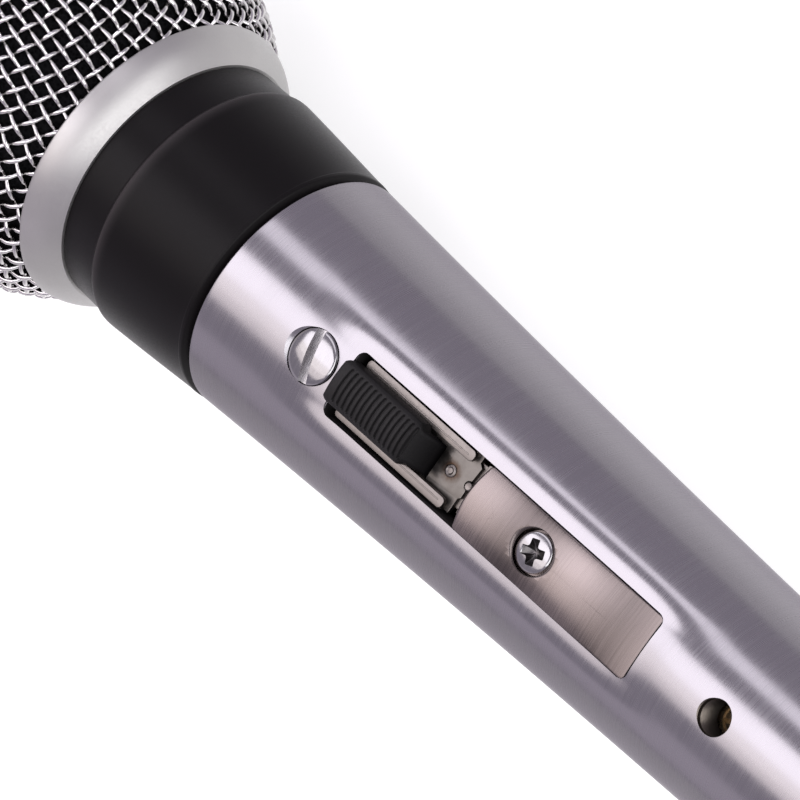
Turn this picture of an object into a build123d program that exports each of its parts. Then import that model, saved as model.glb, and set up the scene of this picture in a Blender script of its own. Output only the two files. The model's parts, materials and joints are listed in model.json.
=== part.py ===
from build123d import *
import math
import os

# Handheld ball-grille dynamic microphone with a slide switch, lying on a table.
# Every piece is drawn in the microphone's own frame and then laid down:
# x runs along its axis from the connector rim to the grille, z is the switch side.
# Lengths are in millimetres.

# Main stations along the axis
HANDLE_LENGTH = 96.3
LOCK_HOLE_X = 15.0
COLLAR_SCREW_X = HANDLE_LENGTH - 15.7
COLLAR_WIDEST_X = HANDLE_LENGTH + 15.9
CREASE_X = HANDLE_LENGTH + 16.8
NECK_X = HANDLE_LENGTH + 22.3
RING_TOP_X = HANDLE_LENGTH + 26.9
BALL_X = HANDLE_LENGTH + 43.5

# Outer radii
BASE_R = 12.05
LOWER_R = 13.0
MIDDLE_R = 14.3
JOINT_R = 15.75
LIP_R = 15.9
COLLAR_R = 16.95
CREASE_R = 16.6
NECK_R = 16.45
RING_R = 19.5
BALL_R = 25.3
BAND_R = 25.4

# Handle bores
SOCKET_R = 8.1
SOCKET_END_X = 22.5
MAIN_BORE_R = 9.8
SPIGOT_BORE_R = 12.2
SPIGOT_START_X = HANDLE_LENGTH - 19.2
RIM_CHAMFER = 0.6
EDGE_CHAMFER = 0.25

# Flat pad on the handle that carries the switch slot: u along it, w outwards from it
PAD_X = 26.9
PAD_Z = 11.69
PAD_SLOPE = 2.2
SLOT_LENGTH = 49.4
SLOT_WIDTH = 8.5
PLATE_LENGTH = 27.8
PLATE_THICK = 1.0
OPENING_U = 25.1
COVER_SCREW_U = 17.5
SWITCH_TRAVEL = 4.0

# Connector
PIN_R = 1.2
PIN_SHANK_R = 1.45
PIN_CIRCLE_R = 4.75
PIN_TIP_X = 1.0
INSERT_X = 12.5
PIN_BACK_X = 26.5
LOCK_HOLE_R = 2.1

# Cartridge stations
HOUSING_X = HANDLE_LENGTH + 3.5
YOKE_X = HANDLE_LENGTH + 15.5
GAP_TOP_X = HANDLE_LENGTH + 28.1
HEAD_X = HANDLE_LENGTH + 28.5
CAP_TOP_X = HANDLE_LENGTH + 34.5
CAN_R = 11.0
CAN_BORE_R = 8.6
CAN_FLOOR = 2.0
YOKE_R = 9.6
YOKE_BORE_R = 8.0
YOKE_FLOOR = 2.5
GAP_DEPTH = 3.0
MAGNET_R = 5.6
POLE_R = 5.9
PLATE_BORE_R = 7.1
HEAD_R = 13.0
HEAD_BORE_R = 12.2
CAP_R = HEAD_BORE_R - 0.05
CAP_SEAT_R = 10.8
LUG_TIP_X = HOUSING_X - 4.5
LUG_Y = 3.0
LUG_R = 0.6

FIT_GAP = 0.05
LEAD_R = 0.5


def turned(*points):
    """Solid of revolution about x from a closed (x, radius) outline."""
    return revolve(make_face(Polyline(*points, close=True)), Axis.X)


def tube(x0, x1, inner, outer):
    """Plain ring about x."""
    return turned((x0, inner), (x1, inner), (x1, outer), (x0, outer))


def rod(x0, x1, radius, y=0.0, z=0.0):
    """Cylinder along x."""
    middle = Pos((x0 + x1) / 2, y, z) * Rot(Y=90)
    return middle * Cylinder(radius, x1 - x0)


def post(z0, z1, radius, x=0.0, y=0.0):
    """Cylinder along z."""
    return Pos(x, y, (z0 + z1) / 2) * Cylinder(radius, z1 - z0)


def block(x0, x1, half_y, z0, z1):
    """Box centred on y = 0."""
    return Pos((x0 + x1) / 2, 0, (z0 + z1) / 2) * Box(x1 - x0, 2 * half_y, z1 - z0)


def rounded_block(x0, x1, half_y, z0, z1, corner):
    """Box centred on y = 0 with rounded upright corners."""
    outline = RectangleRounded(x1 - x0, 2 * half_y, corner)
    return Pos((x0 + x1) / 2, 0, z0) * extrude(outline, z1 - z0)


def side_profile(half_y, *points):
    """Closed (x, z) outline, as seen from the side, given the width 2 half_y."""
    outline = make_face(Polyline(*[(x, 0, z) for x, z in points], close=True))
    return extrude(outline, half_y, dir=(0, 1, 0), both=True)


def on_pad(shape):
    """Moves a shape drawn in the pad's own (u, v, w) frame on to the handle."""
    return Pos(PAD_X, 0, PAD_Z) * Rot(Y=-PAD_SLOPE) * shape


# ---- grille ----

MESH_WALL = 0.9
BAND_HALF = 1.3
BAND_WALL = 0.5
FOAM_OUT = 24.2
FOAM_IN = 22.2
THREAD_R = 14.93
RING_BORE_R = 15.0
MESH_SEAT_X = RING_TOP_X - 2.3
FOAM_START_X = RING_TOP_X + 4.4


def ball_shell(outer, inner, x0, x1):
    """Part of a hollow ball about the grille's centre, between two planes across the axis."""
    shell = Pos(BALL_X, 0, 0) * (Sphere(outer) - Sphere(inner))
    return shell & rod(x0, x1, 2 * BALL_R)


def grille_band():
    """Seam band that clamps the edges of the two mesh halves."""
    return tube(BALL_X - BAND_HALF, BALL_X + BAND_HALF, BAND_R - BAND_WALL, BAND_R)


def mesh_half(x0, x1):
    """Half of the wire ball, with its edge tucked under the seam band."""
    return ball_shell(BALL_R, BALL_R - MESH_WALL, x0, x1) - grille_band()


def grille_lower_mesh():
    return mesh_half(MESH_SEAT_X, BALL_X)


def grille_upper_mesh():
    return mesh_half(BALL_X, BALL_X + BALL_R)


def foam_liner():
    return ball_shell(FOAM_OUT, FOAM_IN, FOAM_START_X, BALL_X + BALL_R)


def grille_ring():
    """Bell-shaped ring: threaded bore, bulging flank and a rim that closes on the mesh."""
    lead_in = 1.0
    rim_width = 0.7
    flank = Spline(
        (NECK_X, NECK_R + 0.25),
        (NECK_X + 0.6, NECK_R + 1.3),
        (NECK_X + 2.0, RING_R - 0.5),
        (RING_TOP_X - rim_width, RING_R),
    )
    rest = Polyline(
        (RING_TOP_X - rim_width, RING_R),
        (RING_TOP_X, RING_R - 0.2),
        (RING_TOP_X, RING_BORE_R + lead_in),
        (RING_TOP_X - lead_in, RING_BORE_R),
        (NECK_X, RING_BORE_R),
        (NECK_X, NECK_R + 0.25),
    )
    body = revolve(make_face([flank, rest]), Axis.X)
    return body - (Pos(BALL_X, 0, 0) * Sphere(BALL_R))


# ---- collar and handle ----

SPIGOT_WALL = 1.8
COLLAR_BORE_R = 12.6
NECK_END_X = HANDLE_LENGTH + 25.9
LIP_BEVEL = 0.6
LIP_LENGTH = 0.9
SWELL_LENGTH = 8.0
SWELL_RISE = 0.55


def collar():
    """Black adapter ring: lip, swelling body, crease, plain band, threaded neck and handle spigot."""
    spigot_r = SPIGOT_BORE_R - FIT_GAP
    x0 = HANDLE_LENGTH
    swell = Spline(
        (x0 + LIP_LENGTH, LIP_R),
        (x0 + SWELL_LENGTH, LIP_R + SWELL_RISE),
        (COLLAR_WIDEST_X, COLLAR_R),
    )
    rest = Polyline(
        (COLLAR_WIDEST_X, COLLAR_R),
        (CREASE_X - 0.3, COLLAR_R - 0.05),
        (CREASE_X, CREASE_R),
        (NECK_X, NECK_R),
        (NECK_X, THREAD_R),
        (NECK_END_X, THREAD_R),
        (NECK_END_X, COLLAR_BORE_R),
        (x0, COLLAR_BORE_R),
        (x0 - 2.0, SPIGOT_BORE_R - SPIGOT_WALL),
        (SPIGOT_START_X + FIT_GAP, SPIGOT_BORE_R - SPIGOT_WALL),
        (SPIGOT_START_X + FIT_GAP, spigot_r),
        (x0, spigot_r),
        (x0, LIP_R - LIP_BEVEL),
        (x0 + LIP_LENGTH, LIP_R),
    )
    body = revolve(make_face([swell, rest]), Axis.X)
    return body - post(0, JOINT_R, SCREW_SHANK_R, COLLAR_SCREW_X)


LOWER_X = 34.0
MIDDLE_X = 67.0
SCREW_HEAD_R = 3.0
SCREW_SHANK_R = 1.5
SCREW_RECESS_R = 3.2
SCREW_RECESS_Z = 13.3
COVER_SHANK_R = 1.2


def handle_outline():
    """Closed outline of the handle's wall, from the rim's bore round the outside and back inside."""
    outside = Spline(
        (RIM_CHAMFER, BASE_R),
        (LOWER_X, LOWER_R),
        (MIDDLE_X, MIDDLE_R),
        (HANDLE_LENGTH - EDGE_CHAMFER, JOINT_R),
    )
    inside = Polyline(
        (HANDLE_LENGTH - EDGE_CHAMFER, JOINT_R),
        (HANDLE_LENGTH, JOINT_R - EDGE_CHAMFER),
        (HANDLE_LENGTH, SPIGOT_BORE_R),
        (SPIGOT_START_X, SPIGOT_BORE_R),
        (SPIGOT_START_X, MAIN_BORE_R),
        (SOCKET_END_X + 2.0, MAIN_BORE_R),
        (SOCKET_END_X, SOCKET_R),
        (RIM_CHAMFER, SOCKET_R),
        (0, SOCKET_R + RIM_CHAMFER),
        (0, BASE_R - RIM_CHAMFER),
        (RIM_CHAMFER, BASE_R),
    )
    return make_face([outside, inside])


PAD_MARGIN = 1.5
PAD_FOOT_U = -9.0
PAD_FOOT_W = 1.5
PAD_HEAD_U = SLOT_LENGTH + 8.0
PAD_HEAD_W = 1.8
POCKET_CORNER = 1.0
OPENING_CORNER = 0.6
ABOVE_PAD = 6.0
THROUGH_WALL = -8.0


def handle_shell():
    """Tapered tube with the flat switch pad, plate pocket, switch opening and screw holes."""
    body = revolve(handle_outline(), Axis.X)
    pad_cut = side_profile(
        BASE_R,
        (PAD_FOOT_U, PAD_FOOT_W),
        (-PAD_MARGIN, 0.0),
        (SLOT_LENGTH + PAD_MARGIN, 0.0),
        (PAD_HEAD_U, PAD_HEAD_W),
        (PAD_HEAD_U, ABOVE_PAD),
        (PAD_FOOT_U, ABOVE_PAD),
    )
    half = SLOT_WIDTH / 2
    floor_w = -(PLATE_THICK + FIT_GAP)
    pocket = rounded_block(0, SLOT_LENGTH, half, floor_w, ABOVE_PAD, POCKET_CORNER)
    opening = rounded_block(OPENING_U, SLOT_LENGTH, half, THROUGH_WALL, ABOVE_PAD, OPENING_CORNER)
    cover_hole = post(THROUGH_WALL, 0.0, COVER_SHANK_R + 0.15, COVER_SCREW_U)
    body -= on_pad(pad_cut)
    body -= on_pad(pocket)
    body -= on_pad(opening)
    body -= on_pad(cover_hole)
    body -= post(SCREW_RECESS_Z, JOINT_R + 1, SCREW_RECESS_R, COLLAR_SCREW_X)
    body -= post(0, JOINT_R, SCREW_SHANK_R + 0.1, COLLAR_SCREW_X)
    body -= post(0, BASE_R + 1, LOCK_HOLE_R, LOCK_HOLE_X)
    return body


def collar_screw():
    """Domed slotted screw that holds the handle to the collar's spigot."""
    top = 14.95
    dome_r = 14.0
    head = post(SCREW_RECESS_Z, top, SCREW_HEAD_R, COLLAR_SCREW_X)
    head &= Pos(COLLAR_SCREW_X, 0, top - dome_r) * Sphere(dome_r)
    shank = post(SPIGOT_BORE_R - SPIGOT_WALL, SCREW_RECESS_Z, SCREW_SHANK_R, COLLAR_SCREW_X)
    slot = Pos(COLLAR_SCREW_X, 0, top) * Rot(Z=105) * Box(8.0, 0.75, 1.8)
    return head + shank - slot


# ---- slide switch, drawn in the pad's frame ----

RAIL_W = -0.9
FLOOR_W = -2.2
SHEET = 0.6
RAIL_OUT = 3.85
RAIL_IN = 2.5
FRAME_START_U = 29.85
FRAME_END_U = 48.45
BRACKET_THICK = 0.8
BRACKET_HALF = 3.0
TAIL_END_U = 12.8
CRANK_U = (25.5, 26.8)
CRANK_DROP = 0.8
BASE_TOP_W = FLOOR_W - SHEET - BRACKET_THICK
BASE_HALF = 3.8
BASE_U = (31.4, 48.5)
BASE_FOOT_W = -8.0
STEM_U = (39.9, 43.7)
STEM_HALF = 1.4
WINDOW_HALF = 1.6
RIVET_U = (32.85, 47.45)
RIVET_R = 0.5
RIVET_HEAD_R = 0.75
CAVITY_U = (33.6, 46.4)
CAVITY_HALF = 2.9
CAVITY_W = -6.6
CARRIAGE_U = (38.4, 45.2)
CARRIAGE_HALF = 2.2
CARRIAGE_W = (-5.6, -4.0)
BLADE_W = -6.0
TERMINAL_U = (35.7, 40.0, 44.3)
TAB_HALF = 0.9
LEG_HALF = 0.3
LEG_FOOT_W = -10.6
LEAF_U = (34.2, 45.8)
LEAF_W = (-5.5, -4.1)
RIB_COUNT = 15
RIB_PITCH = 0.78
RIB_DEPTH = 0.32
SLIDER_NOSE_U = 49.8
SLIDER_HEAD_U = 37.2
SLIDER_RAMP_U = 35.5
SLIDER_TAIL_U = 34.15
CROWN_R = 8.0
SLIDER_TOP_W = 1.7
SLIDER_HALF = 2.75


def stem_window(w0, w1):
    """Clearance for the slider's stem over its whole travel."""
    gap = 0.3
    return block(STEM_U[0] - SWITCH_TRAVEL - gap, STEM_U[1] + gap, WINDOW_HALF, w0, w1)


def switch_slider():
    """Thumb piece: ribbed head that overhangs the slot's end, sloping tail and stem."""
    head = side_profile(
        SLIDER_HALF,
        (SLIDER_NOSE_U, 0.2),
        (SLIDER_NOSE_U, SLIDER_TOP_W - 0.5),
        (SLIDER_NOSE_U - 0.6, SLIDER_TOP_W),
        (SLIDER_HEAD_U, SLIDER_TOP_W),
        (SLIDER_RAMP_U, 0.0),
        (SLIDER_TAIL_U, -0.2),
        (SLIDER_TAIL_U, RAIL_W + 0.1),
        (SLOT_LENGTH - 0.3, RAIL_W + 0.1),
        (SLOT_LENGTH - 0.3, 0.2),
    )
    crown = rod(SLIDER_TAIL_U - 1, SLIDER_NOSE_U + 1, CROWN_R, 0, SLIDER_TOP_W - CROWN_R)
    head &= crown + block(SLIDER_TAIL_U, SLIDER_NOSE_U, SLIDER_HALF, RAIL_W, 0.4)
    for index in range(RIB_COUNT):
        u = SLIDER_NOSE_U - 1.7 - index * RIB_PITCH
        cut = tube(u - 0.17, u + 0.17, CROWN_R - RIB_DEPTH, CROWN_R + 1)
        head -= Pos(0, 0, SLIDER_TOP_W - CROWN_R) * cut
    stem = block(*STEM_U, STEM_HALF, CARRIAGE_W[1], RAIL_W + 0.2)
    return on_pad(head + stem)


def switch_frame():
    """Folded steel frame: floor with the stem's window, two walls and two inward rails."""
    floor = block(FRAME_START_U, FRAME_END_U, RAIL_OUT, FLOOR_W - SHEET, FLOOR_W)
    floor -= stem_window(-5, 0)
    floor -= post(-5, 0, 0.6, FRAME_START_U)
    for u in RIVET_U:
        floor -= post(-5, 0, RIVET_R, u)
    wall_in = RAIL_OUT - SHEET
    walls = block(FRAME_START_U + 0.8, FRAME_END_U, RAIL_OUT, FLOOR_W, RAIL_W)
    walls -= block(FRAME_START_U, FRAME_END_U, wall_in, FLOOR_W, RAIL_W)
    rails = rounded_block(FRAME_START_U + 0.8, FRAME_END_U, RAIL_OUT, RAIL_W - SHEET, RAIL_W, 0.55)
    rails -= block(FRAME_START_U, FRAME_END_U, RAIL_IN, RAIL_W - SHEET, RAIL_W)
    return on_pad(floor + walls + rails)


def switch_bracket():
    """Steel strip under the frame; its cranked tail lies under the cover plate and takes the screw."""
    top = FLOOR_W - SHEET
    strip = side_profile(
        BRACKET_HALF,
        (TAIL_END_U, top - CRANK_DROP),
        (CRANK_U[0], top - CRANK_DROP),
        (CRANK_U[1], top),
        (FRAME_END_U, top),
        (FRAME_END_U, top - BRACKET_THICK),
        (CRANK_U[1], top - BRACKET_THICK),
        (CRANK_U[0], top - CRANK_DROP - BRACKET_THICK),
        (TAIL_END_U, top - CRANK_DROP - BRACKET_THICK),
    )
    strip -= stem_window(-6, 0)
    strip -= post(-6, 0, COVER_SHANK_R, COVER_SCREW_U)
    for u in RIVET_U:
        strip -= post(-6, 0, RIVET_R, u)
    locating_stud = post(top, FLOOR_W - 0.1, 0.5, FRAME_START_U)
    return on_pad(strip + locating_stud)


def switch_base():
    """Phenolic tray under the bracket that holds the contacts."""
    tray = block(*BASE_U, BASE_HALF, BASE_FOOT_W, BASE_TOP_W)
    tray -= block(*CAVITY_U, CAVITY_HALF, CAVITY_W, BASE_TOP_W)
    for u in RIVET_U:
        tray -= post(-9, 0, RIVET_R, u)
    for u in TERMINAL_U:
        tray -= block(u - LEG_HALF, u + LEG_HALF, TAB_HALF, BASE_FOOT_W - 1, 0)
    return on_pad(tray)


def switch_rivets():
    """Two tubular rivets through frame, bracket and tray."""
    rivets = []
    for u in RIVET_U:
        shank = post(BASE_FOOT_W, FLOOR_W, RIVET_R, u)
        head = post(FLOOR_W, FLOOR_W + 0.25, RIVET_HEAD_R, u)
        tail = post(BASE_FOOT_W - 0.3, BASE_FOOT_W, RIVET_HEAD_R, u)
        rivets.append(on_pad(shank + head + tail))
    return Compound(children=rivets)


def switch_carriage():
    """Nylon block under the slider's stem that carries the moving contact."""
    return on_pad(block(*CARRIAGE_U, CARRIAGE_HALF, *CARRIAGE_W))


def switch_contact_blade():
    """Springy bridging contact under the carriage."""
    inset = 0.3
    return on_pad(block(CARRIAGE_U[0] + inset, CARRIAGE_U[1] - inset, WINDOW_HALF, BLADE_W, CARRIAGE_W[0]))


def switch_terminals():
    """Three terminals that stand through the tray's floor."""
    tabs = []
    for u in TERMINAL_U:
        pad = block(u - TAB_HALF, u + TAB_HALF, WINDOW_HALF, CAVITY_W, BLADE_W - 0.1)
        leg = block(u - LEG_HALF, u + LEG_HALF, TAB_HALF, LEG_FOOT_W, CAVITY_W)
        tabs.append(on_pad(pad + leg))
    return Compound(children=tabs)


def switch_detent_spring():
    """Leaf between the carriage and the tray's side wall."""
    middle = sum(LEAF_U) / 2
    leaf = Pos(0, 2.65, 0) * block(*LEAF_U, 0.1, *LEAF_W)
    bump = Pos(0, 2.5, 0) * block(middle - 0.4, middle + 0.4, 0.2, *LEAF_W)
    return on_pad(leaf + bump)


# ---- cover plate ----

COVER_HEAD_R = 2.35
COVER_RECESS_R = 2.6
COVER_SEAT_W = -0.75
PLATE_GAP = 0.1
PLATE_CORNER = 0.9
ROLLED_EDGE_R = 0.45


def cover_plate():
    """Flush brushed plate with a rolled edge at the switch end and a sunk screw seat."""
    half = SLOT_WIDTH / 2 - PLATE_GAP
    plate = rounded_block(PLATE_GAP, PLATE_LENGTH, half, -PLATE_THICK, 0.0, PLATE_CORNER)
    rolled = plate.faces().sort_by(Axis.Z)[-1].edges().sort_by(Axis.X)[-1]
    plate = fillet(rolled, ROLLED_EDGE_R)
    plate -= post(COVER_SEAT_W, 1, COVER_RECESS_R, COVER_SCREW_U)
    plate -= post(-2 * PLATE_THICK, 0, COVER_SHANK_R + PLATE_GAP, COVER_SCREW_U)
    return on_pad(plate)


def cover_screw():
    """Cross-head screw through the plate and the handle wall into the bracket's tail."""
    top = 0.25
    dome_r = 5.5
    head = post(COVER_SEAT_W, top, COVER_HEAD_R, COVER_SCREW_U)
    head &= Pos(COVER_SCREW_U, 0, top - dome_r) * Sphere(dome_r)
    shank = post(-5.2, COVER_SEAT_W, COVER_SHANK_R, COVER_SCREW_U)
    cross = Box(2.7, 0.75, 1.5) + Box(0.75, 2.7, 1.5)
    recess = Pos(COVER_SCREW_U, 0, top) * Rot(Z=20) * cross
    return on_pad(head + shank - recess)


# ---- connector ----


def pin_places():
    """(y, z) of the three contacts: two level with the axis, one below it."""
    return [
        (PIN_CIRCLE_R, 0.0),
        (-PIN_CIRCLE_R, 0.0),
        (0.0, -PIN_CIRCLE_R),
    ]


def xlr_pin(y, z):
    """Contact with a rounded tip towards the rim, a thicker shank and a solder cup at the back."""
    pin = rod(PIN_TIP_X, INSERT_X, PIN_R, y, z)
    tip = pin.edges().sort_by(Axis.X)[0]
    pin = fillet(tip, 0.7) + rod(INSERT_X, PIN_BACK_X, PIN_SHANK_R, y, z)
    return pin - rod(PIN_BACK_X - 3.0, PIN_BACK_X, 0.8, y, z)


LOCK_SCREW_R = 1.6
LOCK_SCREW_Z = (3.4, 7.7)
LOCK_NUT_R = 2.3


def xlr_insert():
    """Insulating disc that holds the contacts and the locking screw."""
    body = rod(INSERT_X, SOCKET_END_X, SOCKET_R - FIT_GAP)
    for y, z in pin_places():
        body -= rod(INSERT_X - 1, SOCKET_END_X + 1, PIN_SHANK_R, y, z)
    body -= post(LOCK_SCREW_Z[0], SOCKET_R + 1, LOCK_NUT_R, LOCK_HOLE_X + 2 * FIT_GAP)
    return body


def lock_nut():
    """Threaded brass bush in the insert for the locking screw."""
    bush = post(LOCK_SCREW_Z[0], LOCK_SCREW_Z[1], LOCK_NUT_R, LOCK_HOLE_X + 2 * FIT_GAP)
    return bush - post(0, SOCKET_R + 1, LOCK_SCREW_R, LOCK_HOLE_X + 2 * FIT_GAP)


def lock_screw():
    """Slotted brass screw that backs out into the handle's hole and locks the insert."""
    x = LOCK_HOLE_X + 2 * FIT_GAP
    screw = post(LOCK_SCREW_Z[0], LOCK_SCREW_Z[1] - 0.3, LOCK_SCREW_R, x)
    slot = Pos(x, 0, LOCK_SCREW_Z[1] - 0.3) * Rot(Z=35) * Box(4, 0.6, 1.6)
    return screw - slot


def ground_spring():
    """Bent contact strip behind the insert that ties the handle to the common contact."""
    strip = block(SOCKET_END_X + 0.1, SOCKET_END_X + 0.5, 1.5, -8.0, 1.5)
    strip -= rod(SOCKET_END_X, SOCKET_END_X + 1, PIN_SHANK_R, 0, -PIN_CIRCLE_R)
    return strip


# ---- transformer ----

CORE_X = (33.0, 49.0)
CORE_Z = (-7.4, 4.6)
CORE_HALF = 3.9
YOKE_BAR = 2.5
LEG = 2.7
CENTRE_LEG_HALF = 2.7


def transformer_core():
    """Stack of laminations with two windows round the centre leg."""
    core = block(*CORE_X, CORE_HALF, *CORE_Z)
    middle = sum(CORE_X) / 2
    windows = [
        (CORE_X[0] + LEG, middle - CENTRE_LEG_HALF),
        (middle + CENTRE_LEG_HALF, CORE_X[1] - LEG),
    ]
    for x0, x1 in windows:
        core -= block(x0, x1, CORE_HALF, CORE_Z[0] + YOKE_BAR, CORE_Z[1] - YOKE_BAR)
    return core


def leg_ring(inset, wall, z0, z1):
    """Rectangular ring round the centre leg."""
    middle = sum(CORE_X) / 2
    x_in = CENTRE_LEG_HALF + inset
    y_in = CORE_HALF + inset
    outer = block(middle - x_in - wall, middle + x_in + wall, y_in + wall, z0, z1)
    return outer - block(middle - x_in, middle + x_in, y_in, z0, z1)


def transformer_bobbin():
    """Moulded bobbin: sleeve round the centre leg with a flange at each end."""
    z0 = CORE_Z[0] + YOKE_BAR
    z1 = CORE_Z[1] - YOKE_BAR
    flange = 0.6
    sleeve = leg_ring(0.0, 0.5, z0, z1)
    return sleeve + leg_ring(0.0, 2.2, z0, z0 + flange) + leg_ring(0.0, 2.2, z1 - flange, z1)


def transformer_winding():
    """Copper winding between the bobbin's flanges."""
    z0 = CORE_Z[0] + YOKE_BAR + 0.6
    z1 = CORE_Z[1] - YOKE_BAR - 0.6
    return leg_ring(0.5, 1.5, z0, z1)


def transformer_pad():
    """Felt saddle between the core and the handle's bore."""
    saddle = rod(CORE_X[0], CORE_X[1], MAIN_BORE_R)
    return saddle & block(*CORE_X, 4.5, -MAIN_BORE_R, CORE_Z[0])


# ---- cartridge ----


def cartridge_housing():
    """Plastic can: closed back, stepped bore and wider head inside the grille."""
    bevel = 0.6
    can = turned(
        (HOUSING_X, 0),
        (HOUSING_X, CAN_R - bevel),
        (HOUSING_X + bevel, CAN_R),
        (GAP_TOP_X - bevel, CAN_R),
        (GAP_TOP_X + bevel, HEAD_R),
        (CAP_TOP_X + bevel, HEAD_R),
        (CAP_TOP_X + bevel, HEAD_BORE_R),
        (HEAD_X, HEAD_BORE_R),
        (HEAD_X, YOKE_R + FIT_GAP),
        (YOKE_X, YOKE_R + FIT_GAP),
        (YOKE_X, CAN_BORE_R),
        (HOUSING_X + CAN_FLOOR, CAN_BORE_R),
        (HOUSING_X + CAN_FLOOR, 0),
    )
    for y in (LUG_Y, -LUG_Y):
        can -= rod(HOUSING_X - 1, HOUSING_X + CAN_FLOOR + 1, LUG_R, y)
    return can


def cartridge_yoke():
    """Steel cup of the magnet system."""
    return turned(
        (YOKE_X, 0),
        (YOKE_X, YOKE_R),
        (GAP_TOP_X - GAP_DEPTH, YOKE_R),
        (GAP_TOP_X - GAP_DEPTH, YOKE_BORE_R),
        (YOKE_X + YOKE_FLOOR, YOKE_BORE_R),
        (YOKE_X + YOKE_FLOOR, 0),
    )


def cartridge_magnet():
    return rod(YOKE_X + YOKE_FLOOR, GAP_TOP_X - GAP_DEPTH, MAGNET_R)


def cartridge_pole_piece():
    return rod(GAP_TOP_X - GAP_DEPTH, GAP_TOP_X, POLE_R)


def cartridge_front_plate():
    return tube(GAP_TOP_X - GAP_DEPTH, GAP_TOP_X, PLATE_BORE_R, YOKE_R)


def voice_coil():
    """Coil in the gap between pole piece and front plate, hung from the diaphragm."""
    inner = POLE_R + 0.3
    return tube(GAP_TOP_X - GAP_DEPTH - 0.2, HEAD_X, inner, inner + 0.5)


DIAPHRAGM_THICK = 0.2
CAP_SEAT_X = HEAD_X + 1.2
CAP_THICK = 2.6
PORT_COUNT = 8
PORT_CIRCLE_R = 6.6
PORT_R = 1.4


def dome_arc(x, rim_r, rise):
    """Arc of a spherical cap on the plane x, from its crown on the axis to its rim."""
    sphere_r = (rim_r**2 + rise**2) / (2 * rise)
    half_way = math.sqrt(sphere_r**2 - rim_r**2 / 4) - sphere_r + rise
    return ThreePointArc((x + rise, 0), (x + half_way, rim_r / 2), (x, rim_r))


def diaphragm():
    """Thin annulus with a raised dome in the middle."""
    dome_rise = 1.8
    dome_r = 6.9
    top = HEAD_X + DIAPHRAGM_THICK
    upper = dome_arc(top, dome_r, dome_rise)
    lower = dome_arc(HEAD_X, dome_r - DIAPHRAGM_THICK, dome_rise)
    edge_r = CAP_R - FIT_GAP
    rest = Polyline((top, dome_r), (top, edge_r), (HEAD_X, edge_r), (HEAD_X, dome_r - DIAPHRAGM_THICK))
    crown = Line((HEAD_X + dome_rise, 0), (top + dome_rise, 0))
    return revolve(make_face([upper, rest, lower, crown]), Axis.X)


def diaphragm_ring():
    return tube(HEAD_X + DIAPHRAGM_THICK, CAP_SEAT_X, CAP_SEAT_R, CAP_R)


def cartridge_front_cap():
    """Resonator cap over the diaphragm, with a ring of ports round a central one."""
    cap = turned(
        (CAP_SEAT_X, CAP_SEAT_R),
        (CAP_SEAT_X, CAP_R),
        (CAP_TOP_X, CAP_R),
        (CAP_TOP_X, 0),
        (CAP_TOP_X - CAP_THICK, 0),
        (CAP_TOP_X - CAP_THICK, CAP_SEAT_R),
    )
    cap -= rod(HEAD_X, CAP_TOP_X + 1, PORT_R)
    for index in range(PORT_COUNT):
        angle = index * math.tau / PORT_COUNT
        y = PORT_CIRCLE_R * math.cos(angle)
        z = PORT_CIRCLE_R * math.sin(angle)
        cap -= rod(HEAD_X, CAP_TOP_X + 1, PORT_R, y, z)
    return cap


def cartridge_screen():
    """Fine cloth screen on the resonator cap."""
    return rod(CAP_TOP_X, CAP_TOP_X + 0.4, CAP_R)


def cartridge_terminal_board():
    """Phenolic disc on the back of the can."""
    board = rod(HOUSING_X - 1.5, HOUSING_X, YOKE_BORE_R)
    for y in (LUG_Y, -LUG_Y):
        board -= rod(HOUSING_X - 2, HOUSING_X + 1, LUG_R, y)
    return board


def cartridge_lugs():
    """Two solder lugs that stand out of the terminal board."""
    ends = (LUG_TIP_X, HOUSING_X + CAN_FLOOR + 1)
    return Compound(children=[rod(*ends, LUG_R, y) for y in (LUG_Y, -LUG_Y)])


def shock_mount():
    """Ribbed rubber sleeve between the can and the collar's bore."""
    start = HOUSING_X + 4.0
    rib_width = 1.5
    rib_pitch = 4.5
    sleeve_r = CAN_R + 1.0
    sleeve = tube(start, start + 3 * rib_pitch + rib_width, CAN_R, sleeve_r)
    for index in range(4):
        x = start + index * rib_pitch
        sleeve += tube(x, x + rib_width, sleeve_r, COLLAR_BORE_R)
    return sleeve


# ---- internal leads ----

LEAD_Y = 6.0
LEAD_Z = -4.0


def lead(*points, bend):
    """Insulated lead along straight runs joined by tangent arcs."""
    path = FilletPolyline(*points, radius=bend)
    start = Plane(origin=path @ 0, z_dir=path % 0)
    return sweep(start * Circle(LEAD_R), path)


def cartridge_lead(side):
    """From a cartridge lug past the switch tray to the transformer's switch-side face."""
    return lead(
        (LUG_TIP_X, LUG_Y * side, 0),
        (HANDLE_LENGTH - 10.5, LUG_Y * side, 0),
        (HANDLE_LENGTH - 16.5, LEAD_Y * side, LEAD_Z),
        (CORE_X[1] + 8.0, LEAD_Y * side, LEAD_Z),
        (CORE_X[1] + 4.0, LUG_Y * side, LEAD_Z),
        (CORE_X[1], LUG_Y * side, LEAD_Z),
        bend=1.5,
    )


def output_lead(y, z):
    """From the transformer's connector-side face into the solder cup of the contact at (y, z)."""
    start_y = 3.0 * (y > 0) - 3.0 * (y < 0)
    return lead(
        (CORE_X[0], start_y, -1.0),
        (31.0, start_y, -1.0),
        (29.3, y, z),
        (PIN_BACK_X - 1.0, y, z),
        bend=1.0,
    )


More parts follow.
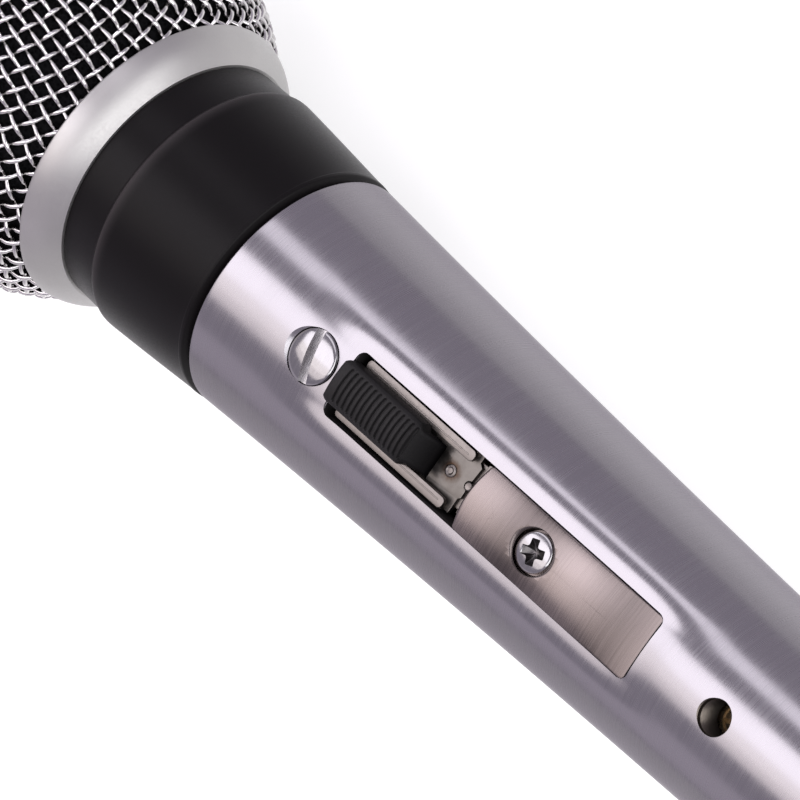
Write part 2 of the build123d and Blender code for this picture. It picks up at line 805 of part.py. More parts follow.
def leads():
    """Cartridge to transformer, and transformer to the three contacts."""
    made = {
        "lead_cartridge_hot": cartridge_lead(1),
        "lead_cartridge_common": cartridge_lead(-1),
    }
    for name, (y, z) in zip(("hot", "cold", "common"), pin_places()):
        made[f"lead_output_{name}"] = output_lead(y, z)
    return made


def assembly():
    """Every piece by name, in the microphone's own frame."""
    pins = {f"xlr_pin_{i}": xlr_pin(y, z) for i, (y, z) in enumerate(pin_places(), 1)}
    pieces = [
        grille_lower_mesh, grille_upper_mesh, grille_band, grille_ring, foam_liner,
        collar, handle_shell, collar_screw, cover_plate, cover_screw,
        switch_slider, switch_frame, switch_bracket, switch_base, switch_rivets,
        switch_carriage, switch_contact_blade, switch_terminals, switch_detent_spring,
        xlr_insert, lock_nut, lock_screw, ground_spring,
        transformer_core, transformer_bobbin, transformer_winding, transformer_pad,
        cartridge_housing, cartridge_yoke, cartridge_magnet, cartridge_pole_piece,
        cartridge_front_plate, voice_coil, diaphragm, diaphragm_ring, cartridge_front_cap,
        cartridge_screen, cartridge_terminal_board, cartridge_lugs, shock_mount,
    ]
    return {make.__name__: make() for make in pieces} | pins | leads()


def lean_angle():
    """Angle in degrees between the axis and the table, with the ball and the rim both touching it."""
    reach = BALL_X - RIM_CHAMFER
    return math.degrees(math.asin(BAND_R / math.hypot(reach, BASE_R)) - math.atan(BASE_R / reach))


def resting_place(pieces):
    """Turns the axis to its resting lean and puts the middle of the footprint at the origin."""
    lean = Rot(Y=-lean_angle())
    outside = [pieces[name] for name in ("handle_shell", "collar", "grille_band")]
    outside += [pieces["grille_upper_mesh"], pieces["grille_lower_mesh"], pieces["switch_slider"]]
    box = Compound(children=[lean * shape for shape in outside]).bounding_box()
    return Pos(-box.center().X, 0, -box.min.Z) * lean


if __name__ == "__main__":
    os.makedirs("parts", exist_ok=True)
    made = assembly()
    place = resting_place(made)
    for name, shape in made.items():
        export_step(place * shape, f"parts/{name}.step")
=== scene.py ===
import json
import math

import bmesh
import bpy
import numpy as np
from mathutils import Matrix, Vector


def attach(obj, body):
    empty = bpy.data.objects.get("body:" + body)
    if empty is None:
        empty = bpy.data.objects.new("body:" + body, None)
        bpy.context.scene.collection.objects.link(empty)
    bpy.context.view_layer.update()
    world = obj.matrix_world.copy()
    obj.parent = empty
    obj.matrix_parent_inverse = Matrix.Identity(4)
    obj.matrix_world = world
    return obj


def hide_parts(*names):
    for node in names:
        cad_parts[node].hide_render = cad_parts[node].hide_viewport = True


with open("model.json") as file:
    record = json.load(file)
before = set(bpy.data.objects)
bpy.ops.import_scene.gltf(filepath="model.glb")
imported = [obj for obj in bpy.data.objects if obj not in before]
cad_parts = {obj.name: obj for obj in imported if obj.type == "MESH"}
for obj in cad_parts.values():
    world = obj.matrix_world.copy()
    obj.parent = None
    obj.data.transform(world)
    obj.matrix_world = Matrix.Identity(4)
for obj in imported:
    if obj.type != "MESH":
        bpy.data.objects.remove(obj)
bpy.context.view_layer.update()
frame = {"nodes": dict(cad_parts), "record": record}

# Handheld ball-grille microphone with a slide switch.
# Meshes are drawn in millimetres in two frames taken from the CAD record: the microphone's own
# (x along its axis from the connector rim to the grille, z the switch side) and the switch pad's
# (u along the slot towards the grille, v across it, w outwards).

scene = bpy.context.scene
MM = 0.001
WELD = 1e-7  # points nearer than this become one, in metres

# Stations along the axis
HANDLE_LENGTH = 96.3
LOCK_HOLE_X = 15.0
COLLAR_SCREW_X = HANDLE_LENGTH - 15.7
SPIGOT_START_X = HANDLE_LENGTH - 19.2
COLLAR_WIDEST_X = HANDLE_LENGTH + 15.9
CREASE_X = HANDLE_LENGTH + 16.8
NECK_X = HANDLE_LENGTH + 22.3
RING_TOP_X = HANDLE_LENGTH + 26.9
BALL_X = HANDLE_LENGTH + 43.5

# Radii
BASE_R = 12.05
JOINT_R = 15.75
LIP_R = 15.9
COLLAR_R = 16.95
CREASE_R = 16.6
NECK_R = 16.45
RING_R = 19.5
BALL_R = 25.3
BAND_R = 25.4
SOCKET_R = 8.1
MAIN_BORE_R = 9.8
SPIGOT_BORE_R = 12.2
COLLAR_BORE_R = 12.6
THREAD_R = 14.93
THREAD_ROOT_R = 14.5
LOCK_HOLE_R = 2.1

# Switch pad
PAD_X = 26.9
PAD_Z = 11.69
PAD_SLOPE = math.radians(2.2)
SLOT_LENGTH = 49.4
SLOT_HALF = 4.25
PLATE_END_U = 27.8
PLATE_DEPTH = 1.05
PLATE_CROWN = 0.6
OPENING_U = 25.1
COVER_SCREW_U = 17.5
RAIL_W = -0.9
FLOOR_W = -2.2
SHEET = 0.6
FRAME_START_U = 29.85
FRAME_END_U = 48.45
RIVET_U = (32.85, 47.45)
STEM_U = (39.9, 43.7)
WINDOW_U = (35.6, 44.0)


# ---- frames ----


def mount(name):
    return next(m for m in frame["record"]["mounts"] if m["name"] == name)


def microphone_frame():
    """Rigid placement of the microphone's own frame in the row frame."""
    axis = -Vector(mount("base_rim")["axis"])
    up = Vector(mount("lock_screw_hole")["axis"])
    foot = Vector(mount("base_rim")["pos_m"])
    foot.y = 0.0
    turn = Matrix((axis, up.cross(axis), up)).transposed().to_4x4()
    return Matrix.Translation(foot) @ turn


def at(x, y, z):
    return Matrix.Translation(Vector((x, y, z)) * MM)


MIC = microphone_frame()
PAD = MIC @ at(PAD_X, 0, PAD_Z) @ Matrix.Rotation(-PAD_SLOPE, 4, "Y")
UPRIGHT = Matrix.Rotation(-math.pi / 2, 4, "Y")  # stands a shape turned about x on end


# ---- mesh building ----


def build(name, verts, faces, place=MIC, sharp=30):
    """Mesh object from points in millimetres, welded, facing outwards and smooth-shaded."""
    mesh = bpy.data.meshes.new(name)
    mesh.from_pydata((np.asarray(verts, float) * MM).tolist(), [], faces)
    work = bmesh.new()
    work.from_mesh(mesh)
    bmesh.ops.remove_doubles(work, verts=work.verts, dist=WELD)
    bmesh.ops.recalc_face_normals(work, faces=work.faces)
    work.to_mesh(mesh)
    work.free()
    shade(mesh, sharp)
    obj = bpy.data.objects.new(name, mesh)
    scene.collection.objects.link(obj)
    obj.matrix_world = place
    return obj


def shade(mesh, sharp=30):
    """Smooth shading that keeps the edges turning by more than an angle sharp."""
    mesh.shade_smooth()
    mesh.set_sharp_from_angle(angle=math.radians(sharp))


def grid_faces(rows, columns, wrap_rows=False, wrap_columns=False, start=0):
    """Quads between neighbouring points of a grid stored row by row."""
    faces = []
    for i in range(rows if wrap_rows else rows - 1):
        for j in range(columns if wrap_columns else columns - 1):
            a = start + i * columns
            b = start + (i + 1) % rows * columns
            k = (j + 1) % columns
            faces.append((a + j, a + k, b + k, b + j))
    return faces


def rounded(points, steps=4):
    """Closed outline from (x, y) or (x, y, radius) corners; corners with a radius become arcs."""
    out = []
    count = len(points)
    for i, point in enumerate(points):
        here = np.array(point[:2], float)
        radius = point[2] if len(point) > 2 else 0.0
        if radius <= 0:
            out.append(tuple(here))
            continue
        back = np.array(points[i - 1][:2], float) - here
        ahead = np.array(points[(i + 1) % count][:2], float) - here
        lengths = np.linalg.norm(back), np.linalg.norm(ahead)
        back, ahead = back / lengths[0], ahead / lengths[1]
        half_angle = math.acos(np.clip(back @ ahead, -1, 1)) / 2
        run = min(radius / math.tan(half_angle), 0.49 * lengths[0], 0.49 * lengths[1])
        radius = run * math.tan(half_angle)
        middle = here + (back + ahead) / np.linalg.norm(back + ahead) * radius / math.sin(half_angle)
        first, last = here + back * run - middle, here + ahead * run - middle
        swing = math.pi - 2 * half_angle
        for k in range(steps + 1):
            t = k / steps
            mix = (math.sin((1 - t) * swing) * first + math.sin(t * swing) * last) / math.sin(swing)
            out.append(tuple(middle + mix))
    return out


def smoothstep(value, low, high):
    t = np.clip((value - low) / (high - low), 0, 1)
    return t * t * (3 - 2 * t)


def cubic(x, stations):
    """Value at x of the cubic through four (x, value) stations."""
    total = 0.0
    for i, (xi, value) in enumerate(stations):
        term = value
        for j, (xj, _) in enumerate(stations):
            if i != j:
                term = term * (x - xj) / (xi - xj)
        total = total + term
    return total


def lathe(name, outline, place=MIC, segments=160, sharp=30):
    """Closed (x, radius) outline turned about x."""
    angles = np.linspace(0, math.tau, segments, endpoint=False)
    verts = [(x, r * math.sin(a), r * math.cos(a)) for x, r in outline for a in angles]
    faces = grid_faces(len(outline), segments, wrap_rows=True, wrap_columns=True)
    return build(name, verts, faces, place, sharp)


def outward_normals(points):
    """Unit normals of a closed outline, pointing out of it."""
    points = np.asarray(points, float)
    along = np.roll(points, -1, 0) - np.roll(points, 1, 0)
    normals = np.stack([along[:, 1], -along[:, 0]], 1)
    normals /= np.linalg.norm(normals, axis=1)[:, None]
    x, y = points.T
    area = np.sum(x * np.roll(y, -1) - np.roll(x, -1) * y)
    return normals if area > 0 else -normals


def stack(name, loops, place=PAD, sharp=30):
    """Closed solid through a pile of loops that have the same number of points."""
    count = len(loops[0])
    faces = grid_faces(len(loops), count, wrap_columns=True)
    faces.append(tuple(range(count)))
    faces.append(tuple((len(loops) - 1) * count + k for k in range(count)))
    return build(name, np.concatenate(loops), faces, place, sharp)


def level(points, w):
    """Points of a flat loop lifted to the height w."""
    return np.column_stack([points, np.full(len(points), w)])


def slab(name, outline, w0, w1, edge=0.1, place=PAD, foot=0.0):
    """Flat piece with a rounded upper edge (and lower, if foot is given) from a closed (u, v) outline."""
    points = np.asarray(outline, float)
    normals = outward_normals(points)
    loops = [level(points - normals * foot, w0)] if foot else []
    loops.append(level(points, w0 + foot))
    for k in range(4):
        a = k / 3 * math.pi / 2
        inset = edge * (1 - math.cos(a))
        loops.append(level(points - normals * inset, w1 - edge + edge * math.sin(a)))
    return stack(name, loops, place)


def rectangle(u0, u1, v0, v1, corner, steps=5):
    """Rounded rectangle in the pad's plane."""
    corners = [(u0, v0), (u1, v0), (u1, v1), (u0, v1)]
    return rounded([(u, v, corner) for u, v in corners], steps)


def carve(obj, cutters, sharp=30):
    """Cuts other meshes out of one and removes them."""
    for cutter in cutters:
        step = obj.modifiers.new("cut", "BOOLEAN")
        step.operation = "DIFFERENCE"
        step.solver = "MANIFOLD"
        step.object = cutter
    bpy.context.view_layer.update()
    cut = obj.evaluated_get(bpy.context.evaluated_depsgraph_get())
    mesh = bpy.data.meshes.new_from_object(cut)
    obj.modifiers.clear()
    obj.data = mesh
    for cutter in cutters:
        bpy.data.objects.remove(cutter)
    shade(mesh, sharp)
    return obj


def number_faces(obj, choose, count=2):
    """Picks each face's material by number; finish_piece fills the empty slots in."""
    for _ in range(count):
        obj.data.materials.append(None)
    for face in obj.data.polygons:
        face.material_index = int(choose(face))


def finish_piece(obj, body, materials, node):
    """Gives a piece its materials and tells the frame what it rides on and stands for."""
    numbers = [face.material_index for face in obj.data.polygons]
    obj.data.materials.clear()
    for material in materials:
        obj.data.materials.append(material)
    obj.data.polygons.foreach_set("material_index", numbers)
    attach(obj, body)
    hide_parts(node)
    return obj


def bumpy_noise(points, size, seed, waves=24):
    """Smooth pseudo-random value at each point, from a sum of plane waves of about that size."""
    rng = np.random.default_rng(seed)
    directions = rng.normal(size=(waves, 3))
    directions /= np.linalg.norm(directions, axis=1)[:, None]
    rates = math.tau / (size * rng.uniform(0.7, 1.6, waves))
    phases = rng.uniform(0, math.tau, waves)
    return np.sin(points @ (directions * rates[:, None]).T + phases).sum(1) / math.sqrt(waves)


# ---- materials ----


WAVE_RATE = 20  # a wave texture's phase for each unit of its coordinate


class Paint:
    """A procedural material built node by node round one Principled shader."""

    def __init__(self, name, colour, roughness, metallic=0.0):
        self.material = bpy.data.materials.new(name)
        self.material.use_nodes = True
        self.nodes = self.material.node_tree.nodes
        self.links = self.material.node_tree.links
        self.shader = self.nodes["Principled BSDF"]
        self.set("Base Color", (*colour, 1))
        self.set("Roughness", roughness)
        self.set("Metallic", metallic)
        self.colour = colour

    def set(self, socket, value):
        self.shader.inputs[socket].default_value = value

    def node(self, kind, **settings):
        made = self.nodes.new("ShaderNode" + kind)
        for key, value in settings.items():
            if hasattr(made, key):
                setattr(made, key, value)
            else:
                made.inputs[key.replace("_", " ").title()].default_value = value
        return made

    def link(self, out, into):
        self.links.new(out, into)

    def position(self, stretch=1.0):
        """Object coordinates, stretched by one factor or by one for each axis."""
        place = self.node("TexCoord").outputs["Object"]
        mapping = self.node("Mapping")
        mapping.inputs["Scale"].default_value = stretch if isinstance(stretch, tuple) else (stretch,) * 3
        self.link(place, mapping.inputs["Vector"])
        return mapping.outputs["Vector"]

    def along_x(self):
        """The object's first coordinate, in metres."""
        place = self.node("SeparateXYZ")
        self.link(self.position(), place.inputs[0])
        return place.outputs["X"]

    def noise(self, stretch, detail=3.0, rough=0.6):
        made = self.node("TexNoise", detail=detail, roughness=rough, scale=1.0)
        self.link(self.position(stretch), made.inputs["Vector"])
        return made.outputs["Fac"]

    def range(self, value, low, high, start=0.3, end=0.7):
        made = self.node("MapRange")
        for number, setting in enumerate((value, start, end, low, high)):
            self.feed(setting, made.inputs[number])
        return made.outputs["Result"]

    def feed(self, value, into):
        """Sets an input to a number or a colour, or links it to an output."""
        if isinstance(value, bpy.types.NodeSocket):
            self.link(value, into)
        else:
            into.default_value = (*value, 1) if isinstance(value, tuple) else value

    def math(self, kind, a, b):
        made = self.node("Math", operation=kind)
        self.feed(a, made.inputs[0])
        self.feed(b, made.inputs[1])
        return made.outputs[0]

    def mix(self, factor, a, b):
        made = self.node("Mix", data_type="RGBA")
        for value, number in ((factor, 0), (a, 6), (b, 7)):
            self.feed(value, made.inputs[number])
        return made.outputs[2]

    def tint(self, value, low, high):
        """Base colour between low and high times the material's colour, by a 0 to 1 value."""
        dark = tuple(c * low for c in self.colour)
        light = tuple(min(1.0, c * high) for c in self.colour)
        self.set_colour(self.mix(value, dark, light))

    def set_colour(self, value):
        self.link(value, self.shader.inputs["Base Color"])

    def vary_roughness(self, value, low, high):
        self.link(self.range(value, low, high), self.shader.inputs["Roughness"])

    def bump(self, height, depth):
        """Relief with the given depth in millimetres."""
        made = self.node("Bump", strength=1.0)
        made.inputs["Distance"].default_value = depth * MM
        self.link(height, made.inputs["Height"])
        self.link(made.outputs["Normal"], self.shader.inputs["Normal"])


def brushed(name, colour, roughness, lines, anisotropic=0.0, tangent="X", contrast=0.06, depth=0.004):
    """Metal with hairlines. lines is the stretch that makes noise into hairlines, per metre."""
    paint = Paint(name, colour, roughness, 1.0)
    hair = paint.noise(lines, detail=4.0, rough=0.75)
    patches = paint.noise(160, detail=2.0)
    paint.tint(paint.range(hair, 0.0, 1.0, 0.35, 0.65), 1 - contrast, 1 + contrast)
    blend = paint.math("ADD", paint.range(hair, -0.05, 0.05), paint.range(patches, -0.02, 0.02))
    paint.link(paint.math("ADD", blend, roughness), paint.shader.inputs["Roughness"])
    paint.bump(hair, depth)
    if anisotropic:
        paint.set("Anisotropic", anisotropic)
        paint.set("Anisotropic Rotation", 0.25)
        direction = paint.node("Tangent", direction_type="RADIAL", axis=tangent)
        paint.link(direction.outputs["Tangent"], paint.shader.inputs["Tangent"])
    return paint


def satin(name, colour, roughness, metallic=1.0, grain=2500, depth=0.002, contrast=0.05):
    """Even metal or enamel with a fine grain and faint patches."""
    paint = Paint(name, colour, roughness, metallic)
    fine = paint.noise(grain)
    patches = paint.noise(90)
    paint.tint(paint.range(patches, 0.0, 1.0), 1 - contrast, 1 + contrast)
    paint.vary_roughness(fine, roughness - 0.06, roughness + 0.06)
    paint.bump(fine, depth)
    return paint


def moulded(name, colour, roughness, grain=1400, depth=0.012):
    """Moulded plastic or rubber with a pebbled skin and faint flow marks."""
    paint = Paint(name, colour, roughness)
    pebble = paint.noise(grain, detail=2.0)
    flow = paint.noise((60, 140, 140), detail=4.0)
    paint.tint(paint.range(flow, 0.0, 1.0), 0.85, 1.2)
    paint.vary_roughness(pebble, roughness - 0.08, roughness + 0.1)
    paint.bump(pebble, depth)
    return paint


def handle_metal():
    """Steel brushed round the handle."""
    lines = (5200, 55, 55)
    paint = brushed("handle_metal", (0.315, 0.305, 0.32), 0.27, lines, 0.7, contrast=0.03, depth=0.0015)
    paint.set("Specular Tint", (0.55, 0.53, 0.56, 1))
    return paint


def cover_metal():
    """Warm steel brushed across its width, with soft light and dark bands along it painted into the colour
    as reflection.
    """
    lines = (4200, 45, 45)
    paint = brushed("cover_metal", (0.2, 0.172, 0.164), 0.27, lines, anisotropic=0.6, tangent="Z")
    paint.set("Anisotropic Rotation", 0.0)
    # painted reflection: wave bands along the plate lighten and darken its colour in place of bands of
    # reflected light
    bands = paint.node("TexWave", bands_direction="X", distortion=1.4, phase_offset=4.6)
    bands.inputs["Scale"].default_value = math.tau / (WAVE_RATE * 15 * MM)
    bands.inputs["Detail Scale"].default_value = 0.6
    paint.link(paint.position(), bands.inputs["Vector"])
    hair = paint.range(paint.noise(lines, detail=4.0, rough=0.75), 0.0, 0.3, 0.35, 0.65)
    # the painted reflection bands, plus the hairlines' own tone
    painted_reflection_and_grain = paint.math("ADD", paint.math("MULTIPLY", bands.outputs["Fac"], 0.7), hair)
    paint.tint(painted_reflection_and_grain, 0.5, 1.3)
    return paint


def collar_black():
    """Black enamel with a painted highlight: lighter along the shoulder of the crease."""
    paint = satin("collar_black", (0.0045, 0.004, 0.0042), 0.37, 0.0, 5200, 0.004, 0.15)
    paint.set("Specular IOR Level", 0.1)
    crest = CREASE_X - 0.4
    before = paint.range(paint.along_x(), 0.0, 1.0, (CREASE_X - 2.2) * MM, crest * MM)
    after = paint.range(paint.along_x(), 1.0, 0.0, crest * MM, (CREASE_X - 0.05) * MM)
    # painted highlight: a narrow lighter band of colour along the crease's shoulder stands in for the sheen
    # of light on it
    painted_sheen = paint.math("POWER", paint.math("MULTIPLY", before, after), 2.0)
    paint.set_colour(paint.mix(painted_sheen, (0.0042, 0.0036, 0.0039), (0.034, 0.03, 0.031)))
    return paint


def slider_black():
    """Black moulding, worn satin on the ribbed top; towards the tail its colour darkens and its specular
    fades out as painted shade.
    """
    black = (0.0075, 0.007, 0.0072)
    paint = moulded("slider_black", black, 0.48, grain=5200, depth=0.008)
    # painted shade: top runs from 0 at the tail to 1 past the ribbed head, and the tail is darkened and
    # loses its specular where shade falls
    top = paint.range(paint.along_x(), 0.0, 1.0, SLIDER_TAIL_U * MM, (SLIDER_HEAD_U + 1.5) * MM)
    paint.link(paint.math("MULTIPLY", top, 0.2), paint.shader.inputs["Specular IOR Level"])
    paint.set_colour(paint.mix(top, (0.0012, 0.0011, 0.0012), black))
    return paint


def stained_floor():
    """The switch frame's floor: tinplate with a ring of brown flux round the rivet."""
    paint = Paint("stained_tinplate", (0.17, 0.16, 0.148), 0.38, 1.0)
    place = paint.node("TexCoord").outputs["Object"]
    away = paint.node("VectorMath", operation="DISTANCE")
    paint.link(place, away.inputs[0])
    away.inputs[1].default_value = (RIVET_U[0] * MM, 0, FLOOR_W * MM)
    wobble = paint.range(paint.noise(900), -0.25 * MM, 0.25 * MM)
    reach = paint.math("ADD", away.outputs["Value"], wobble)
    stain = paint.range(reach, 1.0, 0.0, 0.6 * MM, 1.5 * MM)
    dirt = paint.noise(420, detail=5.0)
    plate = paint.mix(paint.range(dirt, 0.0, 1.0, 0.35, 0.7), (0.11, 0.102, 0.093), (0.2, 0.188, 0.172))
    paint.set_colour(paint.mix(stain, plate, (0.045, 0.024, 0.013)))
    paint.vary_roughness(dirt, 0.28, 0.5)
    paint.bump(dirt, 0.01)
    return paint


def open_foam():
    paint = Paint("foam", (0.004, 0.004, 0.0045), 0.95)
    cells = paint.node("TexVoronoi", feature="F1", scale=1.0)
    paint.link(paint.position(1900), cells.inputs["Vector"])
    paint.tint(paint.range(cells.outputs["Distance"], 0.0, 1.0, 0.1, 0.6), 0.4, 1.5)
    paint.bump(cells.outputs["Distance"], 0.25)
    paint.set("Specular IOR Level", 0.05)
    return paint


def layered(name, colour, roughness, metallic, across, pitch, distortion, dark, depth):
    """Layers side by side, as wound wire or stacked sheets; pitch and depth in millimetres."""
    paint = Paint(name, colour, roughness, metallic)
    bands = paint.node("TexWave", bands_direction=across, scale=1.0, distortion=distortion)
    paint.link(paint.position(math.tau / (WAVE_RATE * pitch * MM)), bands.inputs["Vector"])
    paint.tint(bands.outputs["Fac"], dark, 1.2)
    paint.bump(bands.outputs["Fac"], depth)
    return paint


def cloth(name, colour, pitch):
    """Woven or felted cloth."""
    paint = Paint(name, colour, 0.9)
    fibre = paint.noise(1 / (pitch * MM), detail=5.0)
    paint.tint(paint.range(fibre, 0.0, 1.0), 0.55, 1.3)
    paint.bump(fibre, 0.08)
    return paint


# What makes each paint, and its settings after the name: one for each of the record's slots, then
# the extra paints of the pieces that have two or three.
RECIPES = {
    "handle_metal": (handle_metal,),
    "cover_metal": (cover_metal,),
    "ring_metal": (satin, (0.385, 0.381, 0.371), 0.4, 0.85, 3800, 0.0015),
    "mesh_wire": (satin, (0.56, 0.55, 0.545), 0.12, 1.0, 2600, 0.003, 0.12),
    "collar_black": (collar_black,),
    "screw_chrome": (brushed, (0.32, 0.315, 0.32), 0.15, (700, 700, 4500), 0.0, "X", 0.05, 0.001),
    "slider_black": (slider_black,),
    "switch_steel": (satin, (0.19, 0.174, 0.162), 0.36, 1.0, 1800, 0.003, 0.12),
    "phenolic": (moulded, (0.16, 0.08, 0.045), 0.45),
    "nylon": (moulded, (0.72, 0.68, 0.58), 0.4),
    "contact_metal": (satin, (0.66, 0.55, 0.32), 0.28),
    "brass": (brushed, (0.34, 0.26, 0.16), 0.28, (900, 900, 5000)),
    "pin_silver": (brushed, (0.72, 0.71, 0.67), 0.2, (4000, 500, 500)),
    "insert_black": (moulded, (0.03, 0.03, 0.034), 0.5),
    "foam": (open_foam,),
    "rubber": (moulded, (0.022, 0.022, 0.022), 0.7),
    "cartridge_plastic": (moulded, (0.05, 0.05, 0.052), 0.42),
    "magnet_steel": (satin, (0.4, 0.4, 0.42), 0.4),
    "core_iron": (layered, (0.3, 0.29, 0.29), 0.45, 0.9, "Y", 0.35, 0.3, 0.4, 0.04),
    "copper_wire": (layered, (0.62, 0.25, 0.12), 0.3, 1.0, "Z", 0.12, 0.6, 0.45, 0.05),
    "bobbin_plastic": (moulded, (0.55, 0.5, 0.38), 0.45),
    "film": (satin, (0.6, 0.62, 0.66), 0.15, 0.3),
    "felt": (cloth, (0.25, 0.23, 0.2), 0.35),
    "lead_red": (moulded, (0.45, 0.03, 0.025), 0.4),
    "lead_black": (moulded, (0.02, 0.02, 0.02), 0.4),
    "lead_yellow": (moulded, (0.6, 0.42, 0.04), 0.4),
    # painted shade: near-black for the inside of the bore, the slot and the screw recess, where shade
    # falls; the metal there is also unpolished
    "handle_inside": (satin, (0.035, 0.033, 0.033), 0.6, 0.6),
    # painted shade: the lock hole's thread darkened to grey-brown where the hole is in shade
    "hole_brass": (satin, (0.12, 0.105, 0.09), 0.35, 1.0, 4000),
    "slot_striated": (brushed, (0.42, 0.41, 0.42), 0.3, (900, 900, 9000), 0.0, "X", 0.35, 0.03),
    # painted shade: near-black for the inside of the cover screw's cross recess
    "recess_dark": (satin, (0.09, 0.085, 0.085), 0.3, 1.0, 5000, 0.01, 0.3),
    "stained_tinplate": (stained_floor,),
}


def make_material(name):
    maker, *settings = RECIPES[name]
    paint = maker(name, *settings) if settings else maker()
    return paint.material


# ---- handle ----

OUTSIDE = ((0.6, BASE_R), (34.0, 13.0), (67.0, 14.3), (HANDLE_LENGTH - 0.25, JOINT_R))
PAD_DEPTH = 0.42
PAD_HALF = 5.5
PAD_SIDE = 1.7
PAD_FLARE = 0.02
PAD_DIP = 0.5  # how much deeper the pad's middle is at the ends of the slot


def padded_radius(x, angle, radius):
    """Radius of the handle with the shallow pad pressed in, at an angle from the switch side.
    The pad keeps the handle's roundness, and it widens and fades out past both ends of the slot."""
    slot_end = PAD_X + SLOT_LENGTH * math.cos(PAD_SLOPE)
    past = np.maximum(np.maximum(PAD_X - x, x - slot_end), 0)
    half = PAD_HALF + PAD_FLARE * past**2
    off = np.abs(radius * np.sin(angle)) - half
    across = 1 - smoothstep(off, -PAD_SIDE, PAD_SIDE)
    along = smoothstep(x, PAD_X - 10.0, PAD_X + 5.0) * (1 - smoothstep(x, slot_end - 4.0, slot_end + 12.0))
    off_middle = np.clip(1 - (radius * np.sin(angle) / 7.0) ** 2, 0, 1) ** 2
    ends = PAD_DIP * np.exp(-((past / 3.6) ** 2)) * off_middle
    return radius - (PAD_DEPTH + ends) * across * along * (np.cos(angle) > 0)


def handle_body():
    """Closed tube: smooth outside with the pad, rounded ends and stepped bore."""
    segments = 320
    edge = 0.28
    xs = np.concatenate([[0.6], np.arange(0.9, HANDLE_LENGTH - edge, 0.4), [HANDLE_LENGTH - edge]])
    outside = [(x, float(cubic(x, OUTSIDE))) for x in xs]
    front = []
    for k in range(1, 5):
        a = k * math.pi / 8
        front.append((HANDLE_LENGTH - edge * (1 - math.sin(a)), JOINT_R - edge * (1 - math.cos(a))))
    inside = [(HANDLE_LENGTH, SPIGOT_BORE_R), (SPIGOT_START_X, SPIGOT_BORE_R)]
    inside += [(SPIGOT_START_X, MAIN_BORE_R), (24.5, MAIN_BORE_R), (22.5, SOCKET_R), (0.7, SOCKET_R)]
    rim = [(0.25, SOCKET_R + 0.2), (0.0, SOCKET_R + 0.7)]
    rim += [(0.0, BASE_R - 0.6), (0.1, BASE_R - 0.3), (0.3, BASE_R - 0.1)]
    outline = np.array(outside + front + inside + rim)
    angles = np.linspace(0, math.tau, segments, endpoint=False)
    x, angle = np.meshgrid(outline[:, 0], angles, indexing="ij")
    radius = np.repeat(outline[:, 1:], segments, 1)
    blended = padded_radius(x, angle, radius)
    is_outside = np.arange(len(outline))[:, None] < len(outside) + len(front)
    shaped = np.where(is_outside, blended, radius)
    verts = np.stack([x, shaped * np.sin(angle), shaped * np.cos(angle)], -1).reshape(-1, 3)
    faces = grid_faces(len(outline), segments, wrap_rows=True, wrap_columns=True)
    return build("handle_shell_finish", verts, faces)


def prism_cutter(outline, depth, flare=0.1, top=4.0):
    """Cutter down to w = -depth whose mouth flares at the pad's surface."""
    points = np.asarray(outline, float)
    normals = outward_normals(points)
    levels = [(-depth, 0.0), (-flare, 0.0), (0.0, 0.06), (top, 0.2)]
    return stack("cutter", [level(points + normals * out, w) for w, out in levels])


def round_cutter(profile, place, segments=72):
    """Cutter turned about the w direction from (height, radius) points, closed on its axis."""
    outline = [(profile[0][0], 0.0), *profile, (profile[-1][0], 0.0)]
    return lathe("cutter", outline, place @ UPRIGHT, segments)


def lock_hole_profile():
    """Threaded hole through the handle's wall, with a slightly broken edge."""
    pitch = 0.5
    points = []
    height = SOCKET_R - 1.5
    while height < 11.8:
        points += [(height, LOCK_HOLE_R + 0.12), (height + pitch / 2, LOCK_HOLE_R - 0.1)]
        height += pitch
    return points + [(12.12, LOCK_HOLE_R), (12.33, LOCK_HOLE_R), (15.5, LOCK_HOLE_R + 3.17)]


def handle_shell():
    body = handle_body()
    slot = prism_cutter(rectangle(0, SLOT_LENGTH, -SLOT_HALF, SLOT_HALF, 1.0), PLATE_DEPTH)
    opening = rectangle(OPENING_U, SLOT_LENGTH, -SLOT_HALF + 0.02, SLOT_HALF - 0.02, 0.6)
    hole = slab("cutter", opening, -8.0, -0.6, edge=0.01)
    screw_place = MIC @ at(COLLAR_SCREW_X, 0, 0)
    recess = round_cutter([(13.3, 3.3), (14.4, 3.3), (14.65, 3.35), (17.0, 5.7)], screw_place)
    shank = round_cutter([(5.0, 1.6), (13.6, 1.6)], screw_place, 32)
    lock = round_cutter(lock_hole_profile(), MIC @ at(LOCK_HOLE_X, 0, 0))
    body = carve(body, [slot, hole, recess, shank, lock], sharp=28)
    paint_handle_inside(body)
    return body


